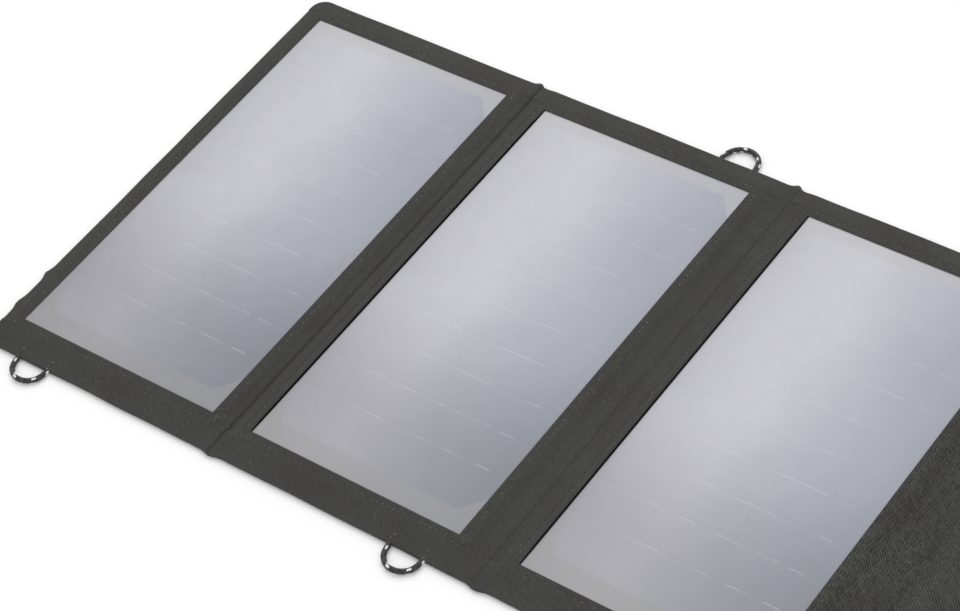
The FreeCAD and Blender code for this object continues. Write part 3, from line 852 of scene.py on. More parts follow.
sections = {
    "panel_1": (outlineX[0], folds["fold_1"].x - webs["fold_1"][0], 1),
    "panel_2": (folds["fold_1"].x + webs["fold_1"][1], folds["fold_2"].x - webs["fold_2"][0], 2),
    "panel_3": (folds["fold_2"].x + webs["fold_2"][1], folds["fold_3"].x - webs["fold_3"][0], 3),
    "base": (folds["fold_3"].x + webs["fold_3"][1], outlineX[1], None),
}


def planFor(inset, rounds=(False, False)):
    corners = ("leftFront", "leftBack") * rounds[0] + ("rightFront", "rightBack") * rounds[1]
    rect = (outlineX[0] + inset, outlineX[1] - inset, outlineY[0] + inset, outlineY[1] - inset)
    return rect, cover["corner"] - inset, corners


def sewSection(body, x0, x1, k):
    rounds = (body == "panel_1", body == "base")
    xMarks = []
    hole = None
    if k:
        hole = windowLine[k]
        xMarks = [hole[0], hole[1], boards[k][0], boards[k][1]]
        xMarks += [windows[k][0] - cover["seam"], windows[k][1] + cover["seam"]]
    low = x0 + (frontInset if rounds[0] else 0)
    high = x1 - (frontInset if rounds[1] else 0)
    xs = gridLines(low, high, xMarks)
    front = clothGrid(f"{body}_front_fabric", xs, frontY, fabricTop, coverFabric, hole,
                      planFor(frontInset, rounds), hemRings, lipRings)
    thicken(front, cover["layer"])
    wrapped = outlineY[1] - outlineY[0] + 2 * 2.4 * mm
    width = x1 - x0 + (2.4 * mm if any(rounds) else 0)
    area = width * wrapped
    if k:
        turned = 2 * cover["allowance"]
        area -= (hole[1] - hole[0] - turned) * (hole[3] - hole[2] - turned)
    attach(front, body)
    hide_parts(f"{body}_front_cover", f"{body}_hem")

    low = x0 + (backInset if rounds[0] else 0)
    high = x1 - (backInset if rounds[1] else 0)
    backX = gridLines(low, high, xMarks[4:], 1.0 * mm, 4.0 * mm)
    back = clothGrid(f"{body}_back_fabric", backX, backY, backBottom, backFabric, None,
                     planFor(backInset, rounds), backRings)
    back.data.flip_normals()
    thicken(back, cover["layer"])
    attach(back, body)
    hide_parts(f"{body}_back_cover")
    return front, back


for body, (x0, x1, k) in sections.items():
    sewSection(body, x0, x1, k)
print("covers sewn")


def sewWeb(name):
    # the fabric over one fold, baked in place without a body; the body it belongs to lies to its right
    left, right, zone = webs[name]
    middle = folds[name].x
    xs = gridLines(middle - left, middle + right, [middle - zone, middle + zone, middle], 0.45 * mm, 1.1 * mm)
    front = clothGrid(f"{name}_front_web", xs, frontY, fabricTop, coverFabric, None,
                      planFor(frontInset), hemRings)
    thicken(front, cover["layer"])
    back = clothGrid(f"{name}_back_web", xs, backY, backBottom, backFabric, None,
                     planFor(backInset), backRings)
    back.data.flip_normals()
    thicken(back, cover["layer"])
    depths = (outlineY[1] - outlineY[0] + 4.8 * mm, backY[-1] - backY[0] + 2.4 * mm)
    for piece, deep in zip((front, back), depths):
        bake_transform(piece)


leads = {
    "lanes": (1.2 * mm, 3.2 * mm),     # from the laminate's back edge
    "height": 1.15 * mm,
    "radius": 0.6 * mm,
    "slim": 0.2 * mm,                  # how much slimmer the pair is where it bends
    "free": {"fold_1": (8.0, 8.0), "fold_2": (5.0, 5.0), "fold_3": (12.5, 12.5)},
}


def bridgeLeads(name):
    # the pair of leads where they bend with the fabric of one fold
    bm = bmesh.new()
    left, right = (reach * mm + 1.0 * mm for reach in leads["free"][name])
    sides = 12
    for lane in leads["lanes"]:
        y0 = boards[1][3] + lane
        rows = []
        for x in gridLines(folds[name].x - left, folds[name].x + right, [], 0.4 * mm, 0.8 * mm):
            sag = 0.1 * mm * math.cos(x / mm * 0.9)
            fromFold = abs(x - folds[name].x)
            radius = leads["radius"] - leads["slim"] * ease(right, right - 3 * mm, fromFold)
            rows.append([bm.verts.new((x, y0 + sag + radius * math.cos(2 * math.pi * k / sides),
                                       leads["height"] + radius * math.sin(2 * math.pi * k / sides)))
                         for k in range(sides)])
        for a, b in zip(rows, rows[1:]):
            for k in range(sides):
                n = (k + 1) % sides
                bm.faces.new((a[k], a[n], b[n], b[k]))
        bm.faces.new(rows[0][::-1])
        bm.faces.new(rows[-1])
    bmesh.ops.recalc_face_normals(bm, faces=bm.faces)
    pair = objectFrom(bm, f"{name}_lead_pair", looks["lead_insulation"])
    settle(pair)
    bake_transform(pair)


for foldAt, parent, child in (("fold_1", "panel_2", "panel_1"), ("fold_2", "panel_3", "panel_2"),
                              ("fold_3", "base", "panel_3")):
    sewWeb(foldAt)
    bridgeLeads(foldAt)
print("fold webs sewn")


# laminates

def filmHeight(k):
    rect = windows[k]

    def height(x, y):
        u = x - rect[0]
        row = (y - filmLook["firstGap"]) / filmLook["stripPitch"]
        dip = bell(row - round(row), 0, 0.035) if -8.4 < round(row) < 0.4 else 0.0
        inside = min(ease(0, 0.004, u), ease(0, 0.004, filmLook["width"] - u))
        bow = 0.06 * ripple(x, y, 0.06, 41.0 + k)
        return filmTop + mm * (bow * inside - 0.05 * dip)
    return height


def layFilm(k):
    board = boards[k]
    inset = 0.4 * mm
    edge = windows[k][0]
    marks = [edge, edge + 0.55 * mm, edge + 0.9 * mm, windows[k][1]]
    xs = gridLines(board[0] + inset, board[1] - inset, marks, 1.0 * mm, 2.6 * mm)
    rows = [filmLook["firstGap"] - n * filmLook["stripPitch"] for n in range(9)]
    ys = gridLines(board[2] + inset, board[3] - inset, rows, 0.35 * mm, 2.6 * mm)
    film = clothGrid(f"panel_{k}_laminate", xs, ys, filmHeight(k), solarFilm)
    layer = film.data.uv_layers["cut"]
    for corner in layer.data:
        corner.uv = (corner.uv[0] - windows[k][0], corner.uv[1])
    # painted shadow: a near-black strip of the film, 0.6 mm wide, in the slot under the fabric's raised left
    # edge of windows 2 and 3
    slotShadow = film.data.attributes.new("slotShadow", "FLOAT", "POINT")
    for vert, value in zip(film.data.vertices, slotShadow.data):
        value.value = 1.0 if k > 1 and vert.co.x < edge + 0.6 * mm else 0.0
    thicken(film, filmTop - filmBottom, -1.0, 60)
    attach(film, f"panel_{k}")
    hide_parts(f"panel_{k}_film")


for k in (1, 2, 3):
    layFilm(k)
print("laminates laid")


# pouch

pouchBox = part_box("pouch_shell")
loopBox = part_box("pouch_loop_strip")
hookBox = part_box("flap_hook_strip")
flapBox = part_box("pouch_flap")
pouch = {
    "left": pouchBox[0][0] - 0.4 * mm,
    "right": pouchBox[1][0],
    "front": pouchBox[0][1],
    "back": pouchBox[1][1],
    "foot": hemTop + 0.2 * mm,
    "top": loopBox[0][2] - 0.1 * mm,
    "wall": 0.7 * mm,
    "slopes": (18 * mm, 9 * mm, 10 * mm, 10 * mm),     # left, right, front, back
    "flange": 1.8 * mm,
    "mouth": (193.5 * mm, 283.5 * mm, 66 * mm, 106 * mm),
    "hinge": (110.4 * mm, 112.6 * mm),
    "rest": 1.9 * mm,
}


def pouchTop(x, y):
    left, right, front, back = pouch["slopes"]
    edge = pouch["flange"]
    ex = min(ease(edge * 0.4, left, x - pouch["left"]), ease(edge * 0.4, right, pouch["right"] - x))
    ey = min(ease(edge * 0.4, front, y - pouch["front"]), ease(edge * 0.4, back, pouch["back"] - y))
    rise = ex * ey
    nearest = min(x - pouch["left"], pouch["right"] - x, y - pouch["front"], pouch["back"] - y)
    z = pouch["foot"] + (pouch["top"] - pouch["foot"]) * rise
    slope = bell(rise, 0.5, 0.35)
    z += slope * mm * (0.7 * ripple(x, y, 0.016, 51.0) + 0.5 * ripple(x * 0.6, y * 0.6, 0.006, 52.0))
    open_ = ease(0.036, 0.02, y) * rise
    z += open_ * mm * (0.9 * bell(y, -0.03, 0.07) + 0.7 * ripple(x, y, 0.035, 53.0))
    z -= 0.25 * mm * bell(nearest, pouch["flange"], 0.7 * mm)
    # lower behind the flap's hinge, where the open flap lies
    beside = ease(flapBox[0][0] - 6 * mm, flapBox[0][0], x) * ease(flapBox[1][0] + 6 * mm, flapBox[1][0], x)
    return z - pouch["rest"] * rise * beside * ease(pouch["hinge"][0], pouch["hinge"][1], y)


def sewPouch():
    mouth = pouch["mouth"]
    xs = gridLines(pouch["left"], pouch["right"], [pouch["left"] + pouch["flange"], mouth[0], mouth[1],
                   pouch["right"] - pouch["flange"]], 0.7 * mm, 2.2 * mm)
    ys = gridLines(pouch["front"], pouch["back"], [pouch["front"] + pouch["flange"], mouth[2], mouth[3],
                   pouch["back"] - pouch["flange"]], 0.7 * mm, 2.2 * mm)
    turn = [lipPlace(0.2 * mm, 0.1 * mm, 0.3 * mm), lipPlace(0.28 * mm, 0.5 * mm, 0.7 * mm),
            lipPlace(0.0, 0.8 * mm, 1.0 * mm), lipPlace(-6 * mm, 0.85 * mm, 7 * mm)]
    shell = clothGrid("pouch_fabric", xs, ys, pouchTop, pouchFabric, mouth, lip=turn)
    thicken(shell, 0.45 * mm, -1.0, 60)
    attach(shell, "base")
    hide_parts("pouch_shell")


sewPouch()
print("pouch sewn")


# strips swept along an edge

def stripAlong(name, path, profile, material, thickness, closed=False):
    # path is (x, y, way out); profile is (out, z, run)
    bm = bmesh.new()
    uvLayer = bm.loops.layers.uv.new("cut")
    flat = {}
    rows = []
    travelled = 0.0
    for n, (x, y, way) in enumerate(path):
        if n:
            travelled += math.hypot(x - path[n - 1][0], y - path[n - 1][1])
        row = []
        for out, z, run in profile:
            lift = 0.06 * mm * ripple(x + out, y, 0.009, 61.0)
            vert = bm.verts.new((x + way[0] * out, y + way[1] * out, z + lift))
            flat[vert] = (travelled, run)
            row.append(vert)
        rows.append(row)
    pairs = list(zip(rows, rows[1:]))
    if closed:
        pairs.append((rows[-1], rows[0]))
    for a, b in pairs:
        for k in range(len(profile) - 1):
            bm.faces.new((a[k], b[k], b[k + 1], a[k + 1]))
    bmesh.ops.recalc_face_normals(bm, faces=bm.faces)
    for face in bm.faces:
        for corner in face.loops:
            corner[uvLayer].uv = flat[corner.vert]
    piece = objectFrom(bm, name, material)
    return thicken(piece, thickness)


def roundedPath(rect, radius, corners):
    # points round a rectangle, anticlockwise from the back left, with arcs at the named corners
    x0, x1, y0, y1 = rect
    places = (("leftFront", x0, y0, 180), ("rightFront", x1, y0, 270),
              ("rightBack", x1, y1, 0), ("leftBack", x0, y1, 90))
    path = []
    for name, x, y, start in places:
        if name not in corners:
            continue
        cx = x + radius if x == x0 else x - radius
        cy = y + radius if y == y0 else y - radius
        turns = max(2, int(radius * math.pi / 2 / (0.9 * mm)))
        for n in range(turns + 1):
            angle = math.radians(start + 90 * n / turns)
            way = (math.cos(angle), math.sin(angle))
            path.append((cx + radius * way[0], cy + radius * way[1], way))
    return path


def fillPath(path, step=1.4 * mm):
    filled = []
    for a, b in zip(path, path[1:]):
        pieces = max(1, round(math.hypot(b[0] - a[0], b[1] - a[1]) / step))
        for n in range(pieces):
            t = n / pieces
            filled.append((a[0] + (b[0] - a[0]) * t, a[1] + (b[1] - a[1]) * t, a[2]))
    return filled + [path[-1]]


flap = {
    "corner": 12 * mm,
    "layer": 0.7 * mm,
    "bind": 5.5 * mm,
    "tape": 0.22 * mm,
}


def flapMiddle(x, y):
    wave = 0.1 * ripple(x, y, 0.03, 71.0) + 0.06 * ripple(x, y, 0.009, 72.0)
    return (flapBox[0][2] + flapBox[1][2]) / 2 + wave * mm


def sewFlap():
    x0, x1 = flapBox[0][0], flapBox[1][0]
    y0, y1 = flapBox[0][1], flapBox[1][1]
    rect = (x0, x1, y0, y1)
    xs = gridLines(x0, x1, [x0 + flap["corner"], x1 - flap["corner"]], 0.9 * mm, 2.4 * mm)
    ys = gridLines(y0, y1, [y0 + flap["corner"]], 0.9 * mm, 2.4 * mm)
    leaf = clothGrid("pouch_flap_leaf", xs, ys, flapMiddle, pouchFabric,
                     plan=(rect, flap["corner"], ("leftFront", "rightFront")))
    thicken(leaf, flap["layer"])
    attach(leaf, "flap")
    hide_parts("pouch_flap")

    side = [(x0, y1, (-1, 0))] + roundedPath(rect, flap["corner"], ("leftFront", "rightFront"))
    side.append((x1, y1, (1, 0)))
    low, high = flapBox[0][2] + 0.02 * mm, flapBox[1][2] + 0.02 * mm
    middle = (low + high) / 2
    bind = flap["bind"]
    profile = [(-bind, high - 0.06 * mm, 0), (-bind + 0.2 * mm, high, 0.2 * mm), (-0.4 * mm, high, bind),
               (0.15 * mm, high - 0.12 * mm, bind + 0.6 * mm), (0.35 * mm, middle, bind + 1.0 * mm),
               (0.15 * mm, low + 0.12 * mm, bind + 1.4 * mm), (-0.4 * mm, low, bind + 2 * mm),
               (-bind, low, 2 * bind)]
    binding = stripAlong("flap_binding", fillPath(side), profile, bindingTape, flap["tape"])
    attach(binding, "flap")

    # the tape that the flap turns on, sewn to the pouch's top and over the flap's back edge
    edge = fillPath([(x0 + 1 * mm, y1, (0, 1)), (x1 - 1 * mm, y1, (0, 1))])
    foot = pouch["top"] + 0.25 * mm
    profile = [(-5.5 * mm, foot, 0), (-1 * mm, foot, 4.5 * mm), (0.7 * mm, foot + 0.03 * mm, 6.2 * mm),
               (1.45 * mm, foot + 0.3 * mm, 7.1 * mm), (1.7 * mm, (foot + high) / 2, 7.8 * mm),
               (1.45 * mm, high - 0.25 * mm, 8.5 * mm), (0.7 * mm, high + 0.08 * mm, 9.2 * mm),
               (-1 * mm, high + 0.12 * mm, 11 * mm), (-6.5 * mm, high + 0.12 * mm, 16.5 * mm)]
    tape = stripAlong("flap_hinge_tape", edge, profile, bindingTape, 0.22 * mm)
    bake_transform(tape)

    mouth = pouch["mouth"]
    corners = ("leftFront", "rightFront", "rightBack", "leftBack")
    ring = roundedPath(mouth, 1.2 * mm, corners)
    ring = [(x, y, (-way[0], -way[1])) for x, y, way in ring]
    lipTop = pouch["top"] + 0.12 * mm
    profile = [(-4.2 * mm, lipTop + 0.02 * mm, 0), (-0.2 * mm, lipTop + 0.05 * mm, 4 * mm),
               (0.3 * mm, lipTop - 0.15 * mm, 4.6 * mm), (0.42 * mm, lipTop - 0.6 * mm, 5 * mm),
               (0.3 * mm, lipTop - 1.05 * mm, 5.4 * mm), (-0.2 * mm, lipTop - 1.25 * mm, 6 * mm),
               (-4.2 * mm, lipTop - 1.25 * mm, 10 * mm)]
    bound = stripAlong("pouch_mouth_binding", fillPath(ring + ring[:1])[:-1], profile, bindingTape,
                       0.2 * mm, True)
    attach(bound, "base")


sewFlap()
print("flap and bindings sewn")


# geometry nodes: a row of stitches along a path, and a field of hooks or loops

def geometryGroup(name, inputs):
    tree = bpy.data.node_groups.new(name, "GeometryNodeTree")
    tree.interface.new_socket(name="Geometry", in_out="INPUT", socket_type="NodeSocketGeometry")
    for label, kind, value in inputs:
        socket = tree.interface.new_socket(name=label, in_out="INPUT", socket_type=kind)
        if value is not None:
            socket.default_value = value
    tree.interface.new_socket(name="Geometry", in_out="OUTPUT", socket_type="NodeSocketGeometry")
    return tree, tree.nodes.new("NodeGroupInput"), tree.nodes.new("NodeGroupOutput")


def buildStitchRow():
    number = "NodeSocketFloat"
    tree, given, made = geometryGroup("stitchRow", [
        ("Pitch", number, 0.0032), ("Stitch Length", number, 0.0023), ("Thread Radius", number, 0.00022),
        ("Sink", number, 0.0), ("Seed", "NodeSocketInt", 7), ("Material", "NodeSocketMaterial", None)])
    curve = tree.nodes.new("GeometryNodeMeshToCurve")
    even = newNode(tree, "GeometryNodeResampleCurve")
    even.mode = "LENGTH"
    joinSockets(
        tree,
        (given.outputs["Geometry"], curve.inputs["Mesh"]),
        (curve.outputs["Curve"], even.inputs["Curve"]),
        (given.outputs["Pitch"], even.inputs["Length"]),
    )
    tangent = tree.nodes.new("GeometryNodeInputTangent")
    align = newNode(tree, "FunctionNodeAlignRotationToVector", axis="X", pivot_axis="Z")
    joinSockets(tree, (tangent.outputs[0], align.inputs["Vector"]))

    def sized(segments, rings, length, wide, high):
        ball = newNode(tree, "GeometryNodeMeshUVSphere",
                       {"Segments": segments, "Rings": rings, "Radius": 1.0})
        scale = tree.nodes.new("ShaderNodeCombineXYZ")
        turned = tree.nodes.new("GeometryNodeTransform")
        joinSockets(
            tree,
            (ball.outputs["Mesh"], turned.inputs["Geometry"]),
            (mathNode(tree, "MULTIPLY", *length), scale.inputs[0]),
            (mathNode(tree, "MULTIPLY", *wide), scale.inputs[1]),
            (mathNode(tree, "MULTIPLY", *high), scale.inputs[2]),
            (scale.outputs[0], turned.inputs["Scale"]),
        )
        return turned.outputs["Geometry"]

    thread = sized(7, 6, (given.outputs["Stitch Length"], 0.5), (given.outputs["Thread Radius"], 1.0),
                   (given.outputs["Thread Radius"], 0.75))
    # painted shade: a flat near-black blob at each needle hole, halfway between stitches, standing in for the
    # hole's shadow
    holeShade = sized(6, 4, (given.outputs["Thread Radius"], 1.7), (given.outputs["Thread Radius"], 1.35),
                 (given.outputs["Thread Radius"], 0.45))
    flag = newNode(tree, "GeometryNodeStoreNamedAttribute", {"Name": "hole"},
                   data_type="FLOAT", domain="POINT")
    flag.inputs["Value"].default_value = 1.0
    joinSockets(tree, (holeShade, flag.inputs["Geometry"]))

    wander = newNode(tree, "FunctionNodeRandomValue", data_type="FLOAT_VECTOR")
    wander.inputs["Min"].default_value = (0.75, 0.8, 0.6)
    wander.inputs["Max"].default_value = (1.1, 1.2, 1.2)
    joinSockets(tree, (given.outputs["Seed"], wander.inputs["Seed"]))
    parts = []
    for shape, along in ((thread, 0.0), (flag.outputs["Geometry"], 0.5)):
        put = tree.nodes.new("GeometryNodeInstanceOnPoints")
        move = tree.nodes.new("GeometryNodeTranslateInstances")
        shift = tree.nodes.new("ShaderNodeCombineXYZ")
        joinSockets(
            tree,
            (even.outputs["Curve"], put.inputs["Points"]),
            (shape, put.inputs["Instance"]),
            (align.outputs["Rotation"], put.inputs["Rotation"]),
            (wander.outputs[0], put.inputs["Scale"]),
            (mathNode(tree, "MULTIPLY", given.outputs["Pitch"], along), shift.inputs[0]),
            (mathNode(tree, "MULTIPLY", given.outputs["Sink"], along * 2), shift.inputs[2]),
            (put.outputs["Instances"], move.inputs["Instances"]),
            (shift.outputs[0], move.inputs["Translation"]),
        )
        parts.append(move.outputs["Instances"])
    both = tree.nodes.new("GeometryNodeJoinGeometry")
    real = tree.nodes.new("GeometryNodeRealizeInstances")
    paint = tree.nodes.new("GeometryNodeSetMaterial")
    joinSockets(
        tree,
        (parts[0], both.inputs[0]),
        (parts[1], both.inputs[0]),
        (both.outputs[0], real.inputs[0]),
        (real.outputs[0], paint.inputs["Geometry"]),
        (given.outputs["Material"], paint.inputs["Material"]),
        (paint.outputs["Geometry"], made.inputs["Geometry"]),
    )
    return tree


def buildBristleField():
    number = "NodeSocketFloat"
    tree, given, made = geometryGroup("bristleField", [
        ("Radius", number, 0.0003), ("Wire", number, 0.00006), ("Sweep", number, 4.2), ("Lean", number, 0.5),
        ("Scatter", number, 0.0004), ("Seed", "NodeSocketInt", 3), ("Material", "NodeSocketMaterial", None)])
    arc = newNode(tree, "GeometryNodeCurveArc", {"Resolution": 7})
    ring = newNode(tree, "GeometryNodeCurvePrimitiveCircle", {"Resolution": 4})
    tube = tree.nodes.new("GeometryNodeCurveToMesh")
    stand = newNode(tree, "GeometryNodeTransform", {"Rotation": (math.pi / 2, 0, 0)})
    joinSockets(
        tree,
        (given.outputs["Radius"], arc.inputs["Radius"]),
        (given.outputs["Sweep"], arc.inputs["Sweep Angle"]),
        (given.outputs["Wire"], ring.inputs["Radius"]),
        (arc.outputs["Curve"], tube.inputs["Curve"]),
        (ring.outputs["Curve"], tube.inputs["Profile Curve"]),
        (tube.outputs["Mesh"], stand.inputs["Geometry"]),
    )
    jog = newNode(tree, "FunctionNodeRandomValue", data_type="FLOAT_VECTOR")
    jog.inputs["Min"].default_value = (-1.0, -1.0, 0.0)
    jog.inputs["Max"].default_value = (1.0, 1.0, 0.0)
    spread = newNode(tree, "ShaderNodeVectorMath", operation="SCALE")
    shifted = tree.nodes.new("GeometryNodeSetPosition")
    turn = newNode(tree, "FunctionNodeRandomValue", data_type="FLOAT_VECTOR")
    low, high = tree.nodes.new("ShaderNodeCombineXYZ"), tree.nodes.new("ShaderNodeCombineXYZ")
    put = tree.nodes.new("GeometryNodeInstanceOnPoints")
    real = tree.nodes.new("GeometryNodeRealizeInstances")
    paint = tree.nodes.new("GeometryNodeSetMaterial")
    joinSockets(
        tree,
        (given.outputs["Seed"], jog.inputs["Seed"]),
        (jog.outputs[0], spread.inputs[0]),
        (given.outputs["Scatter"], spread.inputs["Scale"]),
        (given.outputs["Geometry"], shifted.inputs["Geometry"]),
        (spread.outputs[0], shifted.inputs["Offset"]),
        (mathNode(tree, "MULTIPLY", given.outputs["Lean"], -1.0), low.inputs[2]),
        (given.outputs["Lean"], high.inputs[2]),
        (low.outputs[0], turn.inputs["Min"]),
        (high.outputs[0], turn.inputs["Max"]),
        (shifted.outputs["Geometry"], put.inputs["Points"]),
        (stand.outputs["Geometry"], put.inputs["Instance"]),
        (turn.outputs[0], put.inputs["Rotation"]),
        (put.outputs["Instances"], real.inputs[0]),
        (real.outputs[0], paint.inputs["Geometry"]),
        (given.outputs["Material"], paint.inputs["Material"]),
        (paint.outputs["Geometry"], made.inputs["Geometry"]),
    )
    return tree


stitchRow = buildStitchRow()
bristleField = buildBristleField()


def growNodes(name, points, edges, tree, values, material):
    # runs a node tree on a small guide mesh and keeps the plain mesh
    mesh = bpy.data.meshes.new(name)
    mesh.from_pydata(points, edges, [])
    piece = bpy.data.objects.new(name, mesh)
    bpy.context.scene.collection.objects.link(piece)
    modifier = piece.modifiers.new("grow", "NODES")
    modifier.node_group = tree
    for item in tree.interface.items_tree:
        if item.in_out == "INPUT" and item.name in values:
            modifier[item.identifier] = values[item.name]
        if item.in_out == "INPUT" and item.name == "Material":
            modifier[item.identifier] = material
    return settle(piece, 70)


stitch = {
    "pitch": 3.1 * mm,
    "length": 2.1 * mm,
    "thread": 0.24 * mm,
    "sink": 0.06 * mm,
}
sewn = {}


def sewRow(body, path, height, lift, closed=False):
    # adds a row of stitches to a body: path is (x, y) points
    points, edges = sewn.setdefault(body, ([], []))
    first = len(points)
    points.extend((x, y, height(x, y) + lift) for x, y in path)
    edges.extend((n, n + 1) for n in range(first, len(points) - 1))
    if closed:
        edges.append((len(points) - 1, first))


def along(a, b, step=1.2 * mm):
    pieces = max(1, round(math.hypot(b[0] - a[0], b[1] - a[1]) / step))
    return [(a[0] + (b[0] - a[0]) * n / pieces, a[1] + (b[1] - a[1]) * n / pieces) for n in range(pieces)]


def ringOf(rect, grow):
    x0, x1, y0, y1 = rect[0] - grow, rect[1] + grow, rect[2] - grow, rect[3] + grow
    corners = [(x0, y0), (x1, y0), (x1, y1), (x0, y1), (x0, y0)]
    path = []
    for a, b in zip(corners, corners[1:]):
        path += along(a, b)
    sway = 0.12 * mm
    return [(x + sway * ripple(x, y, 0.006, 81.0), y + sway * ripple(x, y, 0.006, 82.0)) for x, y in path]


tacks = {                         # bar tacks for the cords' ends, in millimetres
    "cords": (("panel_1", -272), ("panel_2", -37), ("base", 272)),   # panel 1's back hem has no cord
    "feet": (-9.8, 9.7),
    "rows": (-0.55, 0.0, 0.55),
    "outer": 134.6,
    "inner": 131.4,
    "step": 0.8,
}


def sewEverything():
    up = cover["layer"] / 2 + 0.02 * mm
    for k, rect in windows.items():
        body = f"panel_{k}"
        sewRow(body, ringOf(rect, cover["seam"]), fabricTop, up, True)
        sewRow(body + "_under", ringOf(rect, cover["seam"]), backBottom, -up, True)
        # the maker's back-tacks run over the seam's ends at the right-hand front corner
        x, y = rect[1] + cover["seam"], rect[2] - cover["seam"]
        for shift in (-0.5, 0.5):
            tack = along((x - 9 * mm, y + shift * mm), (x + 2 * mm, y + shift * mm))
            sewRow(body, tack, fabricTop, up + 0.05 * mm)
            tack = along((x + shift * mm, y - 2 * mm), (x + shift * mm, y + 8 * mm))
            sewRow(body, tack, fabricTop, up + 0.05 * mm)
    inner = (pouch["left"] + 1.7 * mm, pouch["right"] - 1.7 * mm,
             pouch["front"] + 1.7 * mm, pouch["back"] - 1.7 * mm)
    sewRow("base", ringOf(inner, 0.0), pouchTop, 0.02 * mm, True)
    mouth = pouch["mouth"]
    sewRow("base", ringOf(mouth, 3.2 * mm), lambda x, y: pouch["top"] + 0.26 * mm, 0.0, True)
    rect = (flapBox[0][0], flapBox[1][0], flapBox[0][1], flapBox[1][1])
    border = roundedPath(rect, flap["corner"], ("leftFront", "rightFront"))
    inSide, inBack = 4.3, 7.5     # the seam from the flap's sides and from its back edge, in millimetres
    path = [(flapBox[0][0] + inSide * mm, flapBox[1][1] - inBack * mm)]
    path += [(x - way[0] * inSide * mm, y - way[1] * inSide * mm) for x, y, way in border]
    path.append((flapBox[1][0] - inSide * mm, flapBox[1][1] - inBack * mm))
    smooth = []
    for a, b in zip(path, path[1:]):
        smooth += along(a, b)
    flapTop = flapBox[1][2] + 0.16 * mm
    sewRow("flap", smooth, lambda x, y: flapTop, 0.0)
    tape = flapBox[1][1] - 5.3 * mm
    sewRow("flap", along((flapBox[0][0] + 2 * mm, tape), (flapBox[1][0] - 2 * mm, tape)),
           lambda x, y: flapTop + 0.1 * mm, 0.0)
    strip = (hookBox[0][0] + 1.5 * mm, hookBox[1][0] - 1.5 * mm,
             hookBox[0][1] + 1.5 * mm, hookBox[1][1] - 1.5 * mm)
    sewRow("flap", ringOf(strip, 0.0), lambda x, y: flapBox[1][2] - 0.02 * mm, 0.0, True)
    tape = flapBox[1][1] - 4.2 * mm
    sewRow("base", along((flapBox[0][0] + 3 * mm, tape), (flapBox[1][0] - 3 * mm, tape)),
           lambda x, y: pouch["top"] + 0.4 * mm, 0.0)
    for body, centre in tacks["cords"]:
        for side in (-1, 1):
            for foot in tacks["feet"]:
                for row in tacks["rows"]:
                    x = (centre + foot + row) * mm
                    ends = ((x, side * tacks["outer"] * mm), (x, side * tacks["inner"] * mm))
                    sewRow(body, along(*ends, tacks["step"] * mm), fabricTop, up + 0.04 * mm)
    for body, (points, edges) in sewn.items():
        sink = stitch["sink"] if body.endswith("_under") else -stitch["sink"]
        values = {"Pitch": stitch["pitch"], "Stitch Length": stitch["length"],
                  "Thread Radius": stitch["thread"], "Sink": sink, "Seed": len(body)}
        piece = growNodes(f"{body}_stitches", points, edges, stitchRow, values, sewingThread)
        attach(piece, body.replace("_under", ""))


sewEverything()
print("stitches sewn")


# hook-and-loop strips

fastener = {
    "pitch": 1.25 * mm,
    "hook": {"Radius": 0.19 * mm, "Wire": 0.055 * mm, "Sweep": 4.3, "Lean": 0.35,
             "Scatter": 0.05 * mm, "Seed": 11},
    "loop": {"Radius": 0.2 * mm, "Wire": 0.045 * mm, "Sweep": 5.6, "Lean": 3.1,
             "Scatter": 0.45 * mm, "Seed": 12},
}


def makeFastener(name, node, body, kind, up):
    low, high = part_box(node)
    inset = 0.3 * mm
    xs = gridLines(low[0] + inset, high[0] - inset, [], 1.2 * mm, 3.0 * mm)
    ys = gridLines(low[1] + inset, high[1] - inset, [], 0.9 * mm, 2.0 * mm)
    face = low[2] + 0.12 * mm if up else high[2] - 0.12 * mm
    tape = clothGrid(f"{name}_tape", xs, ys, lambda x, y: face, looks["hook_and_loop"])
    thicken(tape, 0.22 * mm)
    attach(tape, body)
    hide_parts(node)
    points = []
    pitch = fastener["pitch"]
    for i in range(int((high[0] - low[0] - 2 * mm) / pitch) + 1):
        for j in range(int((high[1] - low[1] - 2 * mm) / pitch) + 1):
            z = face + (0.22 * mm if up else -0.22 * mm)
            points.append((low[0] + 1 * mm + i * pitch, low[1] + 1 * mm + j * pitch, z))
    field = growNodes(f"{name}_{kind}s", points, [], bristleField, fastener[kind], looks["hook_and_loop"])
    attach(field, body)


makeFastener("pouch_strip", "pouch_loop_strip", "base", "loop", True)
makeFastener("flap_strip", "flap_hook_strip", "flap", "hook", False)
print("fasteners made")


# cord loops

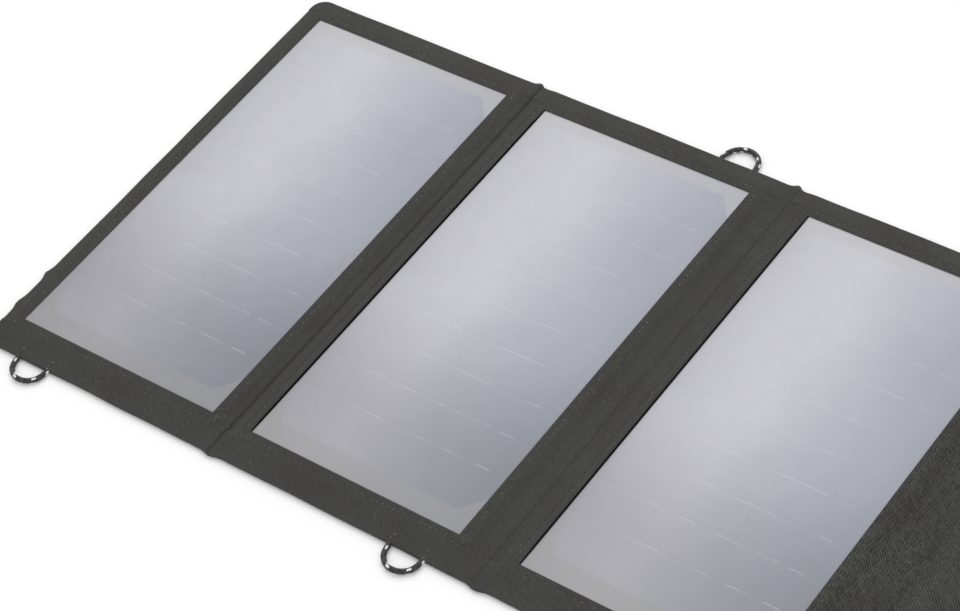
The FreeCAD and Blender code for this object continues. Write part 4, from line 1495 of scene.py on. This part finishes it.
def makeCord():
    material, tree, shader = newMaterial("loopCord")
    uv = newNode(tree, "ShaderNodeUVMap", uv_map="cut")
    bricks = newNode(tree, "ShaderNodeTexBrick", {
        "Scale": 1.0, "Mortar Size": 0.0, "Brick Width": 0.0021, "Row Height": 0.0011,
        "Color1": (0.0, 0.0, 0.0, 1.0), "Color2": (1.0, 1.0, 1.0, 1.0)})
    braid = newNode(tree, "ShaderNodeTexWave", {"Scale": 160.0, "Distortion": 0.4},
                    bands_direction="DIAGONAL")
    fuzz = newNode(tree, "ShaderNodeTexNoise", {"Scale": 2600.0, "Detail": 2.0})
    joinSockets(
        tree,
        (uv.outputs["UV"], bricks.inputs["Vector"]),
        (uv.outputs["UV"], braid.inputs["Vector"]),
        (uv.outputs["UV"], fuzz.inputs["Vector"]),
    )
    fleck = softStep(tree, bricks.outputs["Color"], 0.86, 0.88)
    strand = mixColour(tree, braid.outputs["Fac"], (0.006, 0.006, 0.007), (0.03, 0.03, 0.032))
    colour = mixColour(tree, fleck, strand, (0.78, 0.78, 0.8))
    joinSockets(tree, (colour, shader.inputs["Base Color"]))
    shader.inputs["Roughness"].default_value = 0.55
    height = mathNode(tree, "ADD", braid.outputs["Fac"], mathNode(tree, "MULTIPLY", fuzz.outputs["Fac"], 0.5))
    addBump(tree, shader, height, 0.5, 0.0002)
    shader.inputs["Sheen Weight"].default_value = 0.08
    return material


loopCord = makeCord()
loops = {
    # distance along the hem, distance out from it; each loop is that route, placed and leaned its own way
    "route": [(-9.8, -1.4), (-9.8, 4.4), (-5.6, 9.6), (0.6, 11.3), (6.4, 9.0), (9.6, 4.4), (9.6, -1.4)],
    "height": 1.6 * mm,
    "diameter": 2.8 * mm,
    "length": 34.5 * mm,
    "strands": 8,
    "places": {
        "panel_1_loop_front": ("panel_1", -272.0, -1, 1),
        "panel_2_loop_front": ("panel_2", -37.0, -1, 1),
        "panel_2_loop_back": ("panel_2", -37.0, 1, 1),
        "base_loop_front": ("base", 272.0, -1, -1),
        "base_loop_back": ("base", 272.0, 1, 1),
    },
}


def smoothRoute(points):
    curve = bpy.data.curves.new("route", "CURVE")
    curve.dimensions = "3D"
    spline = curve.splines.new("NURBS")
    spline.points.add(len(points) - 1)
    for target, point in zip(spline.points, points):
        target.co = (*point, 1.0)
    spline.order_u = 3
    spline.use_endpoint_u = True
    spline.resolution_u = 16
    holder = bpy.data.objects.new("route", curve)
    bpy.context.scene.collection.objects.link(holder)
    bpy.context.view_layer.update()
    mesh = bpy.data.meshes.new_from_object(holder.evaluated_get(bpy.context.evaluated_depsgraph_get()))
    path = [v.co.copy() for v in mesh.vertices]
    bpy.data.objects.remove(holder)
    bpy.data.meshes.remove(mesh)
    return path


def braidTube(name, path):
    # a round cord whose strands stand a little proud where they cross
    bm = bmesh.new()
    uvLayer = bm.loops.layers.uv.new("cut")
    sides, radius = 32, loops["diameter"] / 2
    girth = math.pi * loops["diameter"]
    flat, rows, run = {}, [], 0.0
    for n, point in enumerate(path):
        ahead = (path[min(n + 1, len(path) - 1)] - path[max(n - 1, 0)]).normalized()
        side = ahead.cross(Vector((0, 0, 1))).normalized()
        over = side.cross(ahead)
        if n:
            run += (point - path[n - 1]).length
        row = []
        for k in range(sides):
            angle = 2 * math.pi * k / sides
            wind = run / (4.2 * mm) * 2 * math.pi
            strand = loops["strands"] / 2 * angle
            knit = math.sin(strand + wind) * math.sin(strand - wind)
            reach = radius * (0.97 + 0.045 * knit)
            vert = bm.verts.new(point + reach * (math.cos(angle) * side + math.sin(angle) * over))
            flat[vert] = (run, girth * k / sides)
            row.append(vert)
        rows.append(row)
    for a, b in zip(rows, rows[1:]):
        for k in range(sides):
            n = (k + 1) % sides
            face = bm.faces.new((a[k], b[k], b[n], a[n]))
            for corner in face.loops:
                u, v = flat[corner.vert]
                corner[uvLayer].uv = (u, girth if n == 0 and corner.vert in (a[n], b[n]) else v)
    bm.faces.new(rows[0])
    bm.faces.new(rows[-1][::-1])
    bmesh.ops.recalc_face_normals(bm, faces=bm.faces)
    tube = objectFrom(bm, name, loopCord)
    tube.data.shade_smooth()
    tube.data.set_sharp_from_angle(angle=math.radians(70))
    return tube


def tieLoops():
    for name, (body, x, side, lean) in loops["places"].items():
        points = []
        for u, v in loops["route"]:
            points.append(((x + lean * u) * mm, side * (137 + v) * mm, loops["height"]))
        path = smoothRoute(points)
        tube = braidTube(f"{name}_cord", path)
        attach(tube, body)
        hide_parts(name)


tieLoops()
print("cord loops tied")


# studio

studio = {
    "floor": (0.99, 0.99, 0.99),
    "sky": 0.76,
    "lamps": {
        "backBox": {"place": (-0.9, 1.5, 1.9), "aim": (-0.1, 0, 0), "size": 1.8, "power": 21.0},
        "sideBox": {"place": (1.4, -0.6, 1.8), "aim": (0, 0, 0), "size": 1.6, "power": 7.0},
    },
}


def makeStudio():
    material, tree, shader = newMaterial("studioFloor")
    place = newNode(tree, "ShaderNodeTexCoord")
    cloud = newNode(tree, "ShaderNodeTexNoise", {"Scale": 3.0, "Detail": 2.0})
    joinSockets(tree, (place.outputs["Object"], cloud.inputs["Vector"]))
    darker = tuple(0.985 * c for c in studio["floor"])
    colour = mixColour(tree, cloud.outputs["Fac"], studio["floor"], darker)
    joinSockets(tree, (colour, shader.inputs["Base Color"]))
    shader.inputs["Roughness"].default_value = 0.9
    shader.inputs["Specular IOR Level"].default_value = 0.1
    bm = bmesh.new()
    bmesh.ops.create_grid(bm, x_segments=8, y_segments=8, size=4.0)
    floor = objectFrom(bm, "studio_floor", material)

    world = bpy.data.worlds.new("studioSky")
    world.use_nodes = True
    sky = world.node_tree.nodes["Background"]
    sky.inputs["Color"].default_value = (1.0, 1.0, 1.0, 1.0)
    sky.inputs["Strength"].default_value = studio["sky"]
    bpy.context.scene.world = world
    for name, lamp in studio["lamps"].items():
        light = bpy.data.lights.new(name, "AREA")
        light.size = lamp["size"]
        light.energy = lamp["power"]
        holder = bpy.data.objects.new(name, light)
        bpy.context.scene.collection.objects.link(holder)
        aim = Vector(lamp["aim"]) - Vector(lamp["place"])
        facing = aim.to_track_quat("-Z", "Y").to_matrix().to_4x4()
        holder.matrix_world = Matrix.Translation(lamp["place"]) @ facing
    bpy.context.scene.view_settings.view_transform = "Standard"


makeStudio()
print("studio set")
